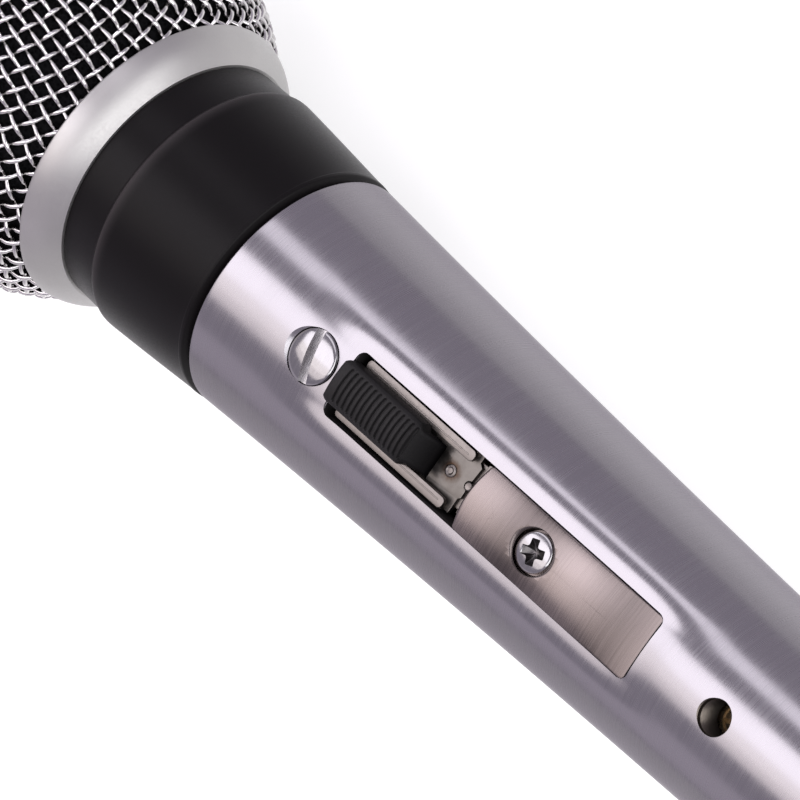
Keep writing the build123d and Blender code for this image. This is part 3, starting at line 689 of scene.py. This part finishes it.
def paint_handle_inside(body):
    """Near-black inside the bore, the slot and the screw recess: unpolished metal, darkened further as
    painted shade; brass in the threaded hole, darkened as painted shade.
    """
    to_pad = PAD.inverted() @ MIC

    def choose(face):
        x, y, z = face.center / MM
        up = face.normal.z
        radius = math.hypot(y, z)
        u, v, w = to_pad @ face.center / MM
        # painted shade: faces inside the lock hole take the darkened thread paint
        if z > 6 and math.hypot(x - LOCK_HOLE_X, y) < LOCK_HOLE_R + 0.2 and up < 0.9:
            return 2
        # painted shade: faces of the bore, the slot and the screw recess take the near-black inside paint
        inwards = face.normal.y * y + up * z < 0
        step = x < HANDLE_LENGTH - 1 and abs(face.normal.x) > 0.9
        in_bore = x > 1.0 and radius < SPIGOT_BORE_R + 0.1 and (inwards or step)
        over_slot = -0.2 < u < SLOT_LENGTH + 0.2 and abs(v) < 4.4 and w < -0.14
        in_slot = over_slot and 0 < z and radius < 14 and (up < 0.8 or w < -0.6)
        in_recess = 10 < z < 14 and math.hypot(x - COLLAR_SCREW_X, y) < 3.25
        return in_bore or in_slot or in_recess

    number_faces(body, choose, 3)


# ---- collar, ring and grille ----


def thread(x0, x1, root, crest, pitch):
    """Sawtooth (x, radius) points of an outside thread."""
    points = []
    x = x0
    while x + pitch <= x1:
        points += [(x, root), (x + pitch / 2, crest)]
        x += pitch
    return points


def collar():
    """Black adapter ring: lip, swelling body, crease, plain band, threaded neck and spigot."""
    start = HANDLE_LENGTH + 0.06
    points = [(start, SPIGOT_BORE_R - 0.05), (start, 14.2), (start + 0.45, 15.0, 0.2)]
    points += [(start + 0.95, LIP_R, 0.4), (start + 1.45, LIP_R + 0.04, 0.1)]
    points.append((start + 1.55, LIP_R + 0.02, 0.1))
    for k in range(1, 18):
        t = k / 18
        x = start + 1.55 + t * (COLLAR_WIDEST_X - start - 1.55)
        points.append((x, LIP_R + (COLLAR_R - LIP_R) * (1.08 * t - 0.08 * t**3)))
    points += [(COLLAR_WIDEST_X, COLLAR_R, 0.3), (CREASE_X - 0.55, COLLAR_R, 0.4)]
    points += [(CREASE_X, CREASE_R, 0.3), (NECK_X - 0.05, NECK_R, 0.1), (NECK_X - 0.05, THREAD_R)]
    points += thread(NECK_X, HANDLE_LENGTH + 24.8, THREAD_ROOT_R, THREAD_R, 0.8)
    end, tail = HANDLE_LENGTH + 25.9, SPIGOT_START_X + 0.05
    points += [(end, THREAD_ROOT_R), (end, COLLAR_BORE_R, 0.2), (HANDLE_LENGTH, COLLAR_BORE_R)]
    points += [(HANDLE_LENGTH - 2.0, 10.4), (tail, 10.4, 0.2), (tail, SPIGOT_BORE_R - 0.05, 0.2)]
    return lathe("collar_finish", rounded(points), segments=224, sharp=22)


def grille_ring():
    """Bell-shaped satin ring with a turned rim that closes on the mesh."""
    flank = [(NECK_X, NECK_R + 0.3), (NECK_X + 1.2, NECK_R + 1.5)]
    flank += [(NECK_X + 2.6, RING_R - 0.55), (RING_TOP_X - 0.5, RING_R)]
    points = [(NECK_X, 15.0, 0.1)]
    points += [(float(x), float(cubic(x, flank))) for x in np.linspace(NECK_X, RING_TOP_X - 0.5, 24)]
    points += [(RING_TOP_X - 0.25, RING_R - 0.02, 0.2), (RING_TOP_X, RING_R - 0.25, 0.12)]
    for k in range(9):
        x = RING_TOP_X - 3.4 * k / 8
        points.append((x, math.sqrt(BALL_R**2 - (BALL_X - x) ** 2)))
    points += [(NECK_X + 0.9, 15.3), (NECK_X + 0.5, 15.0), (NECK_X + 0.3, 15.3)]
    return lathe("grille_ring_finish", rounded(points), segments=224, sharp=35)


def grille_band():
    """Pressed seam band with rolled edges and a shallow middle groove."""
    half = 1.3
    side = [(half, BAND_R - 0.5, 0.15), (half, BAND_R - 0.02, 0.3)]
    side += [(0.35, BAND_R, 0.1), (0.2, BAND_R - 0.12, 0.1)]
    points = [(BALL_X - off, radius, corner) for off, radius, corner in side]
    points += [(BALL_X + off, radius, corner) for off, radius, corner in side[::-1]]
    return lathe("grille_band_finish", rounded(points), segments=256, sharp=35)


WIRE_R = 0.305
MESH_PITCH = 2.11
WEAVE_R = 24.8
WEAVE_TURN = math.radians(33.5)
SHORTEST_WIRE = 0.6


def crimp(position, sign):
    """Height of a plain-weave wire over the middle surface: over one crossing, under the next."""
    wave = np.cos(math.pi * position / MESH_PITCH)
    return sign * WIRE_R * 1.02 * np.tanh(1.5 * wave) / math.tanh(1.5)


def on_ball(across, along, height, pole):
    """Point of the flat sheet laid over the ball about a pole: equal distances from the pole."""
    reach = np.hypot(across, along)
    polar = reach / WEAVE_R
    heading = np.arctan2(along, across) + WEAVE_TURN
    radius = WEAVE_R + height
    x = BALL_X + pole * radius * np.cos(polar)
    out = radius * np.sin(polar)
    return np.stack([x, out * np.cos(heading), out * np.sin(heading)], -1)


def tube(path, outward, radius, sides, verts, faces):
    """Adds a closed round wire along a path to the lists."""
    along = np.gradient(path, axis=0)
    along /= np.linalg.norm(along, axis=1)[:, None]
    side = np.cross(along, outward)
    side /= np.linalg.norm(side, axis=1)[:, None]
    up = np.cross(side, along)
    start = len(verts)
    for k in range(len(path)):
        for j in range(sides):
            a = math.tau * j / sides
            verts.append(path[k] + radius * (math.cos(a) * side[k] + math.sin(a) * up[k]))
    faces.extend(grid_faces(len(path), sides, wrap_columns=True, start=start))
    faces.append(tuple(range(start, start + sides)))
    faces.append(tuple(range(len(verts) - sides, len(verts))))


def wire_mesh(name, pole, first_angle, last_angle):
    """Square woven sheet pressed over half of the ball, between two angles from its pole."""
    verts, faces = [], []
    low, high = first_angle * WEAVE_R, last_angle * WEAVE_R
    count = int(high / MESH_PITCH)
    centre = np.array([BALL_X, 0, 0])
    for family in (0, 1):
        for index in range(-count, count + 1):
            offset = (index + 0.5) * MESH_PITCH
            if abs(offset) >= high - 0.3:
                continue
            end = math.sqrt(high**2 - offset**2)
            begin = math.sqrt(max(low**2 - offset**2, 0))
            spans = [(-end, -begin), (begin, end)] if begin else [(-end, end)]
            sign = (-1) ** index * (1 if family else -1)
            for a, b in spans:
                if b - a < SHORTEST_WIRE:
                    continue
                along = np.linspace(a, b, max(4, int((b - a) / (MESH_PITCH / 5))))
                across = np.full_like(along, offset)
                pair = (across, along) if family else (along, across)
                path = on_ball(*pair, crimp(along - MESH_PITCH / 2, sign), pole)
                tube(path, path - centre, WIRE_R, 7, verts, faces)
    return build(name, verts, faces, sharp=60)


BAND_ANGLE = math.acos(0.9 / WEAVE_R)  # where the wires end under the band


def grille_lower_mesh():
    ring_angle = math.acos((BALL_X - (RING_TOP_X - 0.9)) / WEAVE_R)
    return wire_mesh("grille_lower_mesh_wires", -1, ring_angle, BAND_ANGLE)


def grille_upper_mesh():
    return wire_mesh("grille_upper_mesh_wires", 1, 0.0, BAND_ANGLE)


def foam_liner():
    """Open-cell foam bag inside the ball, with a lumpy skin."""
    outer, inner, start = 24.1, 22.3, RING_TOP_X + 0.3
    rows, columns = 110, 200
    open_angle = math.acos((start - BALL_X) / outer)
    polar = np.linspace(0.0, open_angle, rows)
    heading = np.linspace(0, math.tau, columns, endpoint=False)
    verts = []
    for radius, order in ((outer, polar), (inner, polar[::-1])):
        p, h = np.meshgrid(order, heading, indexing="ij")
        direction = np.stack([np.cos(p), np.sin(p) * np.cos(h), np.sin(p) * np.sin(h)], -1)
        direction = direction.reshape(-1, 3)
        lumps = 0.12 * bumpy_noise(direction * radius, 1.1, 3)
        lumps = lumps + 0.1 * bumpy_noise(direction * radius, 4.0, 4)
        reach = radius + np.clip(lumps, -0.35, 0.3)
        verts.append(direction * reach[:, None] + [BALL_X, 0, 0])
    faces = grid_faces(2 * rows, columns, wrap_columns=True)
    return build("foam_liner_finish", np.concatenate(verts), faces, sharp=80)


# ---- screws and plate ----


def collar_screw():
    """Domed slotted screw with milled slot walls."""
    top, rim, dome_r, slot_floor, slot_half = 15.25, 14.6, 3.08, 14.05, 0.6
    head = [(13.3, 0.0), (13.3, 3.1), (rim - 0.15, 3.24), (rim, 3.22), (rim + 0.1, 3.13)]
    for k in range(1, 13):
        r = dome_r * (1 - k / 12)
        head.append((top - (top - rim - 0.13) * (r / dome_r) ** 2, r))
    shank = [(9.5, 0.0), (9.5, 1.2), (9.8, 1.5), (13.4, 1.5), (13.4, 0.0)]
    place = MIC @ at(COLLAR_SCREW_X, 0, 0)
    screw = lathe("collar_screw_finish", head, place @ UPRIGHT, 96)
    slot_place = place @ at(0, 0, slot_floor) @ Matrix.Rotation(math.radians(105), 4, "Z")
    slot = rectangle(-4, 4, -slot_half, slot_half, 0.02)
    screw = carve(screw, [slab("cutter", slot, 0.0, 2.0, edge=0.001, place=slot_place)])
    into = slot_place.inverted() @ screw.matrix_world

    def in_slot(face):
        _, across, height = into @ face.center / MM
        return abs(across) < slot_half + 0.02 and height < 0.85

    number_faces(screw, in_slot)
    return join_keep(screw, lathe("shank", shank, place @ UPRIGHT, 48))


def join_keep(whole, extra):
    """Adds one mesh to another and keeps the first one's material numbers."""
    work = bmesh.new()
    work.from_mesh(whole.data)
    extra.data.transform(whole.matrix_world.inverted() @ extra.matrix_world)
    work.from_mesh(extra.data)
    work.to_mesh(whole.data)
    work.free()
    bpy.data.objects.remove(extra)
    shade(whole.data)
    return whole


def cross_outline(reach, half, fillet):
    """Outline of a four-armed cross."""
    points = []
    for quarter in range(4):
        a = quarter * math.pi / 2
        for x, y, r in ((half, half, fillet), (half, reach, 0.1), (-half, reach, 0.1)):
            points.append((x * math.cos(a) - y * math.sin(a), x * math.sin(a) + y * math.cos(a), r))
    return rounded(points, 3)


def cover_screw():
    """Cross-head screw with a tapered recess."""
    seat, rim, top, head_r = -0.72, 0.14, 0.56, 2.2

    def dome(r):
        return top - (top - rim - 0.06) * (r / head_r) ** 2

    outline = [(seat, 0.0), (seat, head_r), (rim - 0.25, 2.33), (rim - 0.05, 2.33), (rim + 0.03, 2.25)]
    outline += [(dome(head_r * (1 - k / 10)), head_r * (1 - k / 10)) for k in range(1, 11)]
    place = PAD @ at(COVER_SCREW_U, 0, 0)
    screw = lathe("cover_screw_finish", outline, place @ UPRIGHT, 96)
    cut = cross_cutter(place @ Matrix.Rotation(math.radians(20), 4, "Z"))
    screw = carve(screw, [cut])

    # painted shade: faces inside the cross recess take a near-black paint where shade falls in it
    def in_recess(face):
        w, across = face.center.x / MM, math.hypot(face.center.y, face.center.z) / MM
        return across < 1.7 and seat + 0.01 < w < dome(across) - 0.03

    number_faces(screw, in_recess)
    shank = [(-5.2, 0.0), (-5.2, 1.0), (-5.0, 1.2), (-0.7, 1.2), (-0.7, 0.0)]
    return join_keep(screw, lathe("shank", shank, place @ UPRIGHT, 40))


def cross_cutter(place):
    """Tapered cross, as a driver's tip."""
    levels = [(-0.66, 0.2, 0.09), (-0.5, 0.55, 0.26), (-0.15, 1.05, 0.4)]
    levels += [(0.25, 1.42, 0.5), (0.9, 1.85, 0.62)]
    loops = [level(np.array(cross_outline(reach, half, 0.3)), w) for w, reach, half in levels]
    return stack("cutter", loops, place)


def cover_plate():
    """Crowned plate: rolled edge at the switch end, pressed dimple round the screw."""
    half = SLOT_HALF - 0.1
    across = np.linspace(-0.75, 0.75, 9)
    foot = [(0.12, -t * half) for t in across]
    head = [(PLATE_END_U + 0.45 * (1 - t**2), t * half) for t in across]
    side = np.arange(1.5, PLATE_END_U - 1.4, 0.9)
    corners = [*foot, (0.12, -half, 0.7), *[(u, -half) for u in side], (PLATE_END_U, -half, 0.8), *head]
    corners += [(PLATE_END_U, half, 1.0), *[(u, half) for u in side[::-1]], (0.12, half, 0.7)]
    outline = np.array(rounded(corners, 8))
    normals = outward_normals(outline)
    edge = 0.1 + 0.35 * np.clip(normals[:, 0], 0, 1) ** 3
    levels = [(outline, np.full(len(outline), -1.0))]
    for k in range(6):
        a = k / 5 * math.pi / 2
        levels.append((outline - normals * (edge * (1 - math.cos(a)))[:, None], edge * math.sin(a) - edge))
    rim, middle = levels[-1][0], np.array([PLATE_END_U / 2, 0])
    for share in np.linspace(1, 0.03, 26)[1:]:
        levels.append((middle + (rim - middle) * [1 - 0.28 * (1 - share), share], np.zeros(len(rim))))
    loops = []
    for k, (points, w) in enumerate(levels):
        rise = PLATE_CROWN * (0.35 + 0.65 * smoothstep(points[:, 0], 0, 10))
        crown = rise * (1 - (points[:, 1] / half) ** 2)
        loops.append(np.column_stack([points, w + crown * (k > 0)]))
    plate = stack("cover_plate_finish", loops, sharp=35)
    dimple = [(-0.75, 2.5), (-0.6, 2.56), (0.05, 2.6), (0.3, 2.68), (0.45, 2.82), (0.56, 3.02), (0.65, 3.3)]
    dimple += [(0.71, 3.7), (0.8, 4.4), (1.6, 8.0)]
    place = PAD @ at(COVER_SCREW_U, 0, 0)
    hole = [(-1.5, 1.3), (0.2, 1.3)]
    return carve(plate, [round_cutter(dimple, place, 96), round_cutter(hole, place, 40)], 35)


# ---- switch ----

SLIDER_NOSE_U = 49.8
SLIDER_HEAD_U = 37.4
SLIDER_TAIL_U = 34.15
SLIDER_TOP_W = 1.7
SLIDER_HALF = 2.75
RIB_COUNT = 15
RIB_PITCH = 0.78
RIB_DEPTH = 0.3


def slider_head():
    """Ribbed thumb piece with smooth shoulders, a nose and a narrower sloping tail."""
    tail, nose = SLIDER_TAIL_U, SLIDER_NOSE_U
    u, t = np.meshgrid(np.linspace(tail, nose, 331), np.linspace(-1, 1, 73), indexing="ij")
    narrow = 0.6 * (1 - smoothstep(u, SLIDER_HEAD_U - 0.8, SLIDER_HEAD_U + 0.1))
    corner = 0.75
    past = np.clip(u - (nose - corner), 0, corner)
    round_off = corner - np.sqrt(np.maximum(corner**2 - past**2, 0))
    half = SLIDER_HALF - narrow - round_off
    v = t * half
    crown = SLIDER_TOP_W - v**2 / 18.0
    slope = SLIDER_TOP_W - 0.05 - (SLIDER_HEAD_U - u) * 0.8
    top = np.minimum(crown, np.maximum(slope, -0.35))
    inside = np.minimum(half - np.abs(v), np.minimum(nose - u, u - tail))
    roll = 0.5
    dip = np.clip(roll - inside, 0, roll)
    top = top - (roll - np.sqrt(np.maximum(roll**2 - dip**2, 0)))
    arch = 0.15 * (1 - (v / SLIDER_HALF) ** 2)
    last = nose - 1.7
    phase = (last - (u - arch)) / RIB_PITCH
    ribbed = (phase > -0.5) & (phase < RIB_COUNT - 0.5)
    groove = smoothstep(0.5 + 0.5 * np.cos(math.tau * phase), 0.35, 1.0)
    shoulder = 1 - smoothstep(np.abs(v), 1.95, 2.3)
    top = top - RIB_DEPTH * groove * shoulder * ribbed
    bottom = np.where(u > SLOT_LENGTH - 0.2, 0.72 - v**2 / 24, RAIL_W + 0.1)
    upper = np.stack([u, v, np.maximum(top, bottom + 0.02)], -1)
    return grid_solid(upper, bottom)


def grid_solid(upper, bottom):
    """Closed solid under a height field, down to a flat bottom: (vertices, faces)."""
    rows, columns = upper.shape[:2]
    count = rows * columns
    lower = upper.copy()
    lower[..., 2] = bottom
    verts = np.concatenate([upper.reshape(-1, 3), lower.reshape(-1, 3)])
    faces = grid_faces(rows, columns)
    faces += [tuple(reversed([k + count for k in face])) for face in grid_faces(rows, columns)]
    rim = list(range(columns))
    rim += [i * columns + columns - 1 for i in range(1, rows)]
    rim += [(rows - 1) * columns + j for j in range(columns - 2, -1, -1)]
    rim += [i * columns for i in range(rows - 2, 0, -1)]
    for k, a in enumerate(rim):
        b = rim[(k + 1) % len(rim)]
        faces.append((a, b, b + count, a + count))
    return verts, faces


def switch_slider():
    verts, faces = slider_head()
    head = build("switch_slider_finish", verts, faces, PAD, sharp=40)
    stem = slab("stem", rectangle(*STEM_U, -1.4, 1.4, 0.3), -4.0, -0.75, edge=0.05)
    return join_keep(head, stem)


def floor_outline():
    """Floor of the switch frame; its open end is stepped and notched round the locating stud."""
    start, stud = FRAME_START_U, 0.6
    points = [(FRAME_END_U, -3.85, 0.3), (FRAME_END_U, 3.85, 0.3), (start + 0.35, 3.85, 0.15)]
    points += [(start + 0.35, 1.9, 0.1), (start + 0.05, 1.6, 0.1), (start + 0.05, stud, 0.05)]
    for k in range(1, 8):
        a = math.pi / 2 - k * math.pi / 8
        points.append((start + 0.05 + stud * math.cos(a) * 0.95, stud * math.sin(a)))
    points += [(start + 0.05, -stud, 0.05), (start - 0.1, -2.5, 0.1), (start + 0.45, -2.9, 0.1)]
    points += [(start + 0.45, -3.85, 0.15)]
    return rounded(points, 3)


def frame_cutters(window_floor, hole_floor):
    """Cutters of the carriage's window and the rivet holes, down to two depths."""
    cuts = [slab("cutter", rectangle(*WINDOW_U, -1.6, 1.6, 0.4), window_floor, 0, edge=0.01)]
    for u in RIVET_U:
        cuts.append(round_cutter([(hole_floor, 0.5), (0.0, 0.5)], PAD @ at(u, 0, 0), 32))
    return cuts


def switch_frame():
    """Folded tinplate frame: floor, two walls and two rails with rounded ends."""
    floor = slab("switch_frame_finish", floor_outline(), FLOOR_W - SHEET, FLOOR_W, edge=0.07)
    floor = carve(floor, frame_cutters(-4, -4.0))
    pieces = []
    for side in (-1, 1):
        v0, v1 = sorted((side * 2.5, side * 3.85))
        outline = rectangle(FRAME_START_U + 0.8, FRAME_END_U, v0, v1, 0.55, 6)
        pieces.append(slab("rail", outline, RAIL_W - SHEET, RAIL_W, edge=0.1, foot=0.05))
        w0, w1 = sorted((side * 3.25, side * 3.85))
        wall = rectangle(FRAME_START_U + 1.0, FRAME_END_U - 0.2, w0, w1, 0.1)
        pieces.append(slab("wall", wall, FLOOR_W - 0.1, RAIL_W - SHEET + 0.1, edge=0.02))
        middle = side * 3.05
        bead = rectangle(FRAME_START_U + 1.6, FRAME_END_U - 0.8, middle - 0.09, middle + 0.09, 0.08)
        pieces.append(slab("bead", bead, RAIL_W - 0.05, RAIL_W + 0.05, edge=0.05))
    for piece in pieces:
        floor = join_keep(floor, piece)

    def stained(face):
        return face.center.z / MM < FLOOR_W + 0.02 and abs(face.center.y / MM) < 3.2

    number_faces(floor, stained)
    return floor


def switch_bracket():
    """Steel strip under the frame, stepped up at the frame's open end, with the locating stud."""
    top = FLOOR_W - SHEET
    outline = rectangle(26.9, FRAME_END_U, -3.0, 3.0, 0.3)
    strip = slab("switch_bracket_finish", outline, top - 0.8, top - 0.01, 0.08)
    strip = carve(strip, frame_cutters(-6, -5.0))
    tail = slab("tail", rectangle(12.8, 27.3, -3.0, 3.0, 0.3), top - 1.6, top - 0.8, 0.08)
    near, far = FRAME_START_U - 2.0, FRAME_START_U - 0.3
    lip_points = [(near, -3.6, 0.2), (far - 0.2, -3.4, 0.25), (far, 3.3, 0.25), (near, 3.6, 0.2)]
    lip = slab("lip", rounded(lip_points, 4), top - 0.4, FLOOR_W - 0.12, edge=0.12)
    profile = [(-3.2, 0.0), (-3.2, 0.5), (-2.12, 0.5), (-2.0, 0.46), (-1.94, 0.36), (-1.96, 0.22)]
    stud = lathe("stud", [*profile, (-1.99, 0.0)], PAD @ at(FRAME_START_U, 0, 0) @ UPRIGHT, 32)
    for piece in (tail, lip, stud):
        strip = join_keep(strip, piece)
    return strip


def switch_rivets():
    """Two rivets with rolled rims."""
    profile = [(-8.3, 0.0), (-8.3, 0.75), (-8.0, 0.78), (-7.95, 0.5), (FLOOR_W, 0.5)]
    rim = ((0.02, 0.72), (0.12, 0.74), (0.2, 0.64), (0.22, 0.52), (0.16, 0.4), (0.1, 0.3), (0.12, 0.0))
    profile += [(FLOOR_W + rise, radius) for rise, radius in rim]
    places = [PAD @ at(u, 0, 0) @ UPRIGHT for u in RIVET_U]
    return join_keep(*[lathe("switch_rivets_finish", profile, place, 40) for place in places])


# ---- assembly ----


def dress_cad_nodes():
    """Procedural materials on every CAD node that stays."""
    for part in frame["record"]["subparts"]:
        node = frame["nodes"][part["node"]]
        node.data.materials.clear()
        node.data.materials.append(MATERIALS[part["material_slot"]])


def make_pieces():
    """Builds each visible piece, on its body, in place of the CAD node of the same name."""
    for make, body, slot, node, *extra in (
        (handle_shell, "root", "handle_metal", "handle_shell", "handle_inside", "hole_brass"),
        (collar, "root", "collar_black", "collar"),
        (grille_ring, "grille", "ring_metal", "grille_ring"),
        (grille_band, "grille", "ring_metal", "grille_band"),
        (grille_lower_mesh, "grille", "mesh_wire", "grille_lower_mesh"),
        (grille_upper_mesh, "grille", "mesh_wire", "grille_upper_mesh"),
        (foam_liner, "grille", "foam", "foam_liner"),
        (collar_screw, "root", "screw_chrome", "collar_screw", "slot_striated"),
        (cover_screw, "root", "screw_chrome", "cover_screw", "recess_dark"),
        (cover_plate, "root", "cover_metal", "cover_plate"),
        (switch_slider, "slider", "slider_black", "switch_slider"),
        (switch_frame, "root", "switch_steel", "switch_frame", "stained_tinplate"),
        (switch_bracket, "root", "switch_steel", "switch_bracket"),
        (switch_rivets, "root", "switch_steel", "switch_rivets"),
    ):
        piece = finish_piece(make(), body, [MATERIALS[name] for name in (slot, *extra)], node)


# ---- camera, floor and lights ----

LEAN = math.radians(30.57)  # of the axis towards the camera
TURN = math.radians(42.38)  # of the axis below the picture's horizontal
TWIST = math.radians(15.38)  # of the switch side about the axis, away from facing the camera
JOINT_FROM_CAMERA = Vector((-11.81, -11.97, 685.5))  # right, down and ahead of the camera, mm
LENS = 270.0


def camera_frame():
    """Camera placement from how the joint and the axis stand in its view."""
    to_base = Vector((math.cos(LEAN) * math.cos(TURN), math.cos(LEAN) * math.sin(TURN), -math.sin(LEAN)))
    across = Vector((-math.sin(TURN), math.cos(TURN), 0))
    facing = Vector((-math.sin(LEAN) * math.cos(TURN), -math.sin(LEAN) * math.sin(TURN), -math.cos(LEAN)))
    z = math.cos(TWIST) * facing + math.sin(TWIST) * across
    y = math.cos(TWIST) * across - math.sin(TWIST) * facing
    seen = Matrix((-to_base, y, z)).transposed()
    back = seen.transposed()
    place = (back @ -JOINT_FROM_CAMERA + Vector((HANDLE_LENGTH, 0, 0))) * MM
    right, up, behind = back @ Vector((1, 0, 0)), back @ Vector((0, -1, 0)), back @ Vector((0, 0, -1))
    turn = Matrix((right, up, behind)).transposed().to_4x4()
    return MIC @ Matrix.Translation(place) @ turn


def add_camera():
    data = bpy.data.cameras.new("camera")
    data.lens = LENS
    data.sensor_width = 36.0
    data.clip_start = 0.01
    data.clip_end = 50.0
    camera = bpy.data.objects.new("camera", data)
    scene.collection.objects.link(camera)
    camera.matrix_world = camera_frame()
    scene.camera = camera


def add_floor():
    """Pale floor with a faint glow seen from above, which keeps it white behind the microphone."""
    size = 6.0
    mesh = bpy.data.meshes.new("floor")
    corners = [(x * size, y * size, 0) for x, y in ((-1, -1), (1, -1), (1, 1), (-1, 1))]
    mesh.from_pydata(corners, [], [(0, 1, 2, 3)])
    floor = bpy.data.objects.new("floor", mesh)
    scene.collection.objects.link(floor)
    floor.location.z = -0.0001
    paint = Paint("floor", (0.45, 0.45, 0.452), 0.85)
    paint.tint(paint.range(paint.noise(3), 0.0, 1.0), 0.99, 1.01)
    facing = paint.range(paint.node("LayerWeight", blend=0.5).outputs["Facing"], 0.78, 0.1, 0.15, 0.8)
    paint.set("Emission Color", (1, 1, 1, 1))
    paint.link(facing, paint.shader.inputs["Emission Strength"])
    mesh.materials.append(paint.material)


LIGHT_DISTANCE = 0.9
LIGHT_LENGTH = 1.7


def softbox(name, bearing, width, radiance, tint=(1, 1, 1), slide=0.55):
    """Long light parallel to the microphone's axis. bearing is its angle about the axis from the
    switch side, width the angle that it fills, slide its middle's place along the axis in metres."""
    angle = math.radians(bearing)
    span = 2 * LIGHT_DISTANCE * math.tan(math.radians(width) / 2)
    data = bpy.data.lights.new(name, "AREA")
    data.shape = "RECTANGLE"
    data.size = LIGHT_LENGTH
    data.size_y = span
    data.energy = radiance * math.pi * LIGHT_LENGTH * span
    data.color = tint
    light = bpy.data.objects.new(name, data)
    scene.collection.objects.link(light)
    out = Vector((0, math.sin(angle), math.cos(angle)))
    place = Matrix.Translation(out * LIGHT_DISTANCE + Vector((slide, 0, 0)))
    long_way = Vector((1, 0, 0))
    turn = Matrix((long_way, out.cross(long_way), out)).transposed().to_4x4()
    light.matrix_world = MIC @ place @ turn
    light.visible_camera = False


def add_lights():
    world = bpy.data.worlds.new("studio")
    world.use_nodes = True
    back = world.node_tree.nodes["Background"]
    back.inputs["Color"].default_value = (1.0, 0.91, 1.09, 1)
    back.inputs["Strength"].default_value = 0.495
    scene.world = world
    softbox("key", -2, 24, 2.65, (1.0, 0.955, 1.0))
    softbox("key_shoulder", 15.5, 11, 2.0, (1.0, 0.93, 0.91))
    softbox("key_edge", 26.5, 12, 1.45, (1.0, 0.915, 0.885))
    softbox("strip", -41, 15, 1.7, (0.98, 0.94, 1.0))
    softbox("side", 75, 30, 0.28, (1.0, 0.9, 1.0))
    softbox("front", -28, 105, 2.9, (1.0, 1.0, 1.0), slide=-1.5)


MATERIALS = {name: make_material(name) for name in RECIPES}
dress_cad_nodes()
make_pieces()
add_camera()
add_floor()
add_lights()
scene.view_settings.view_transform = "Standard"
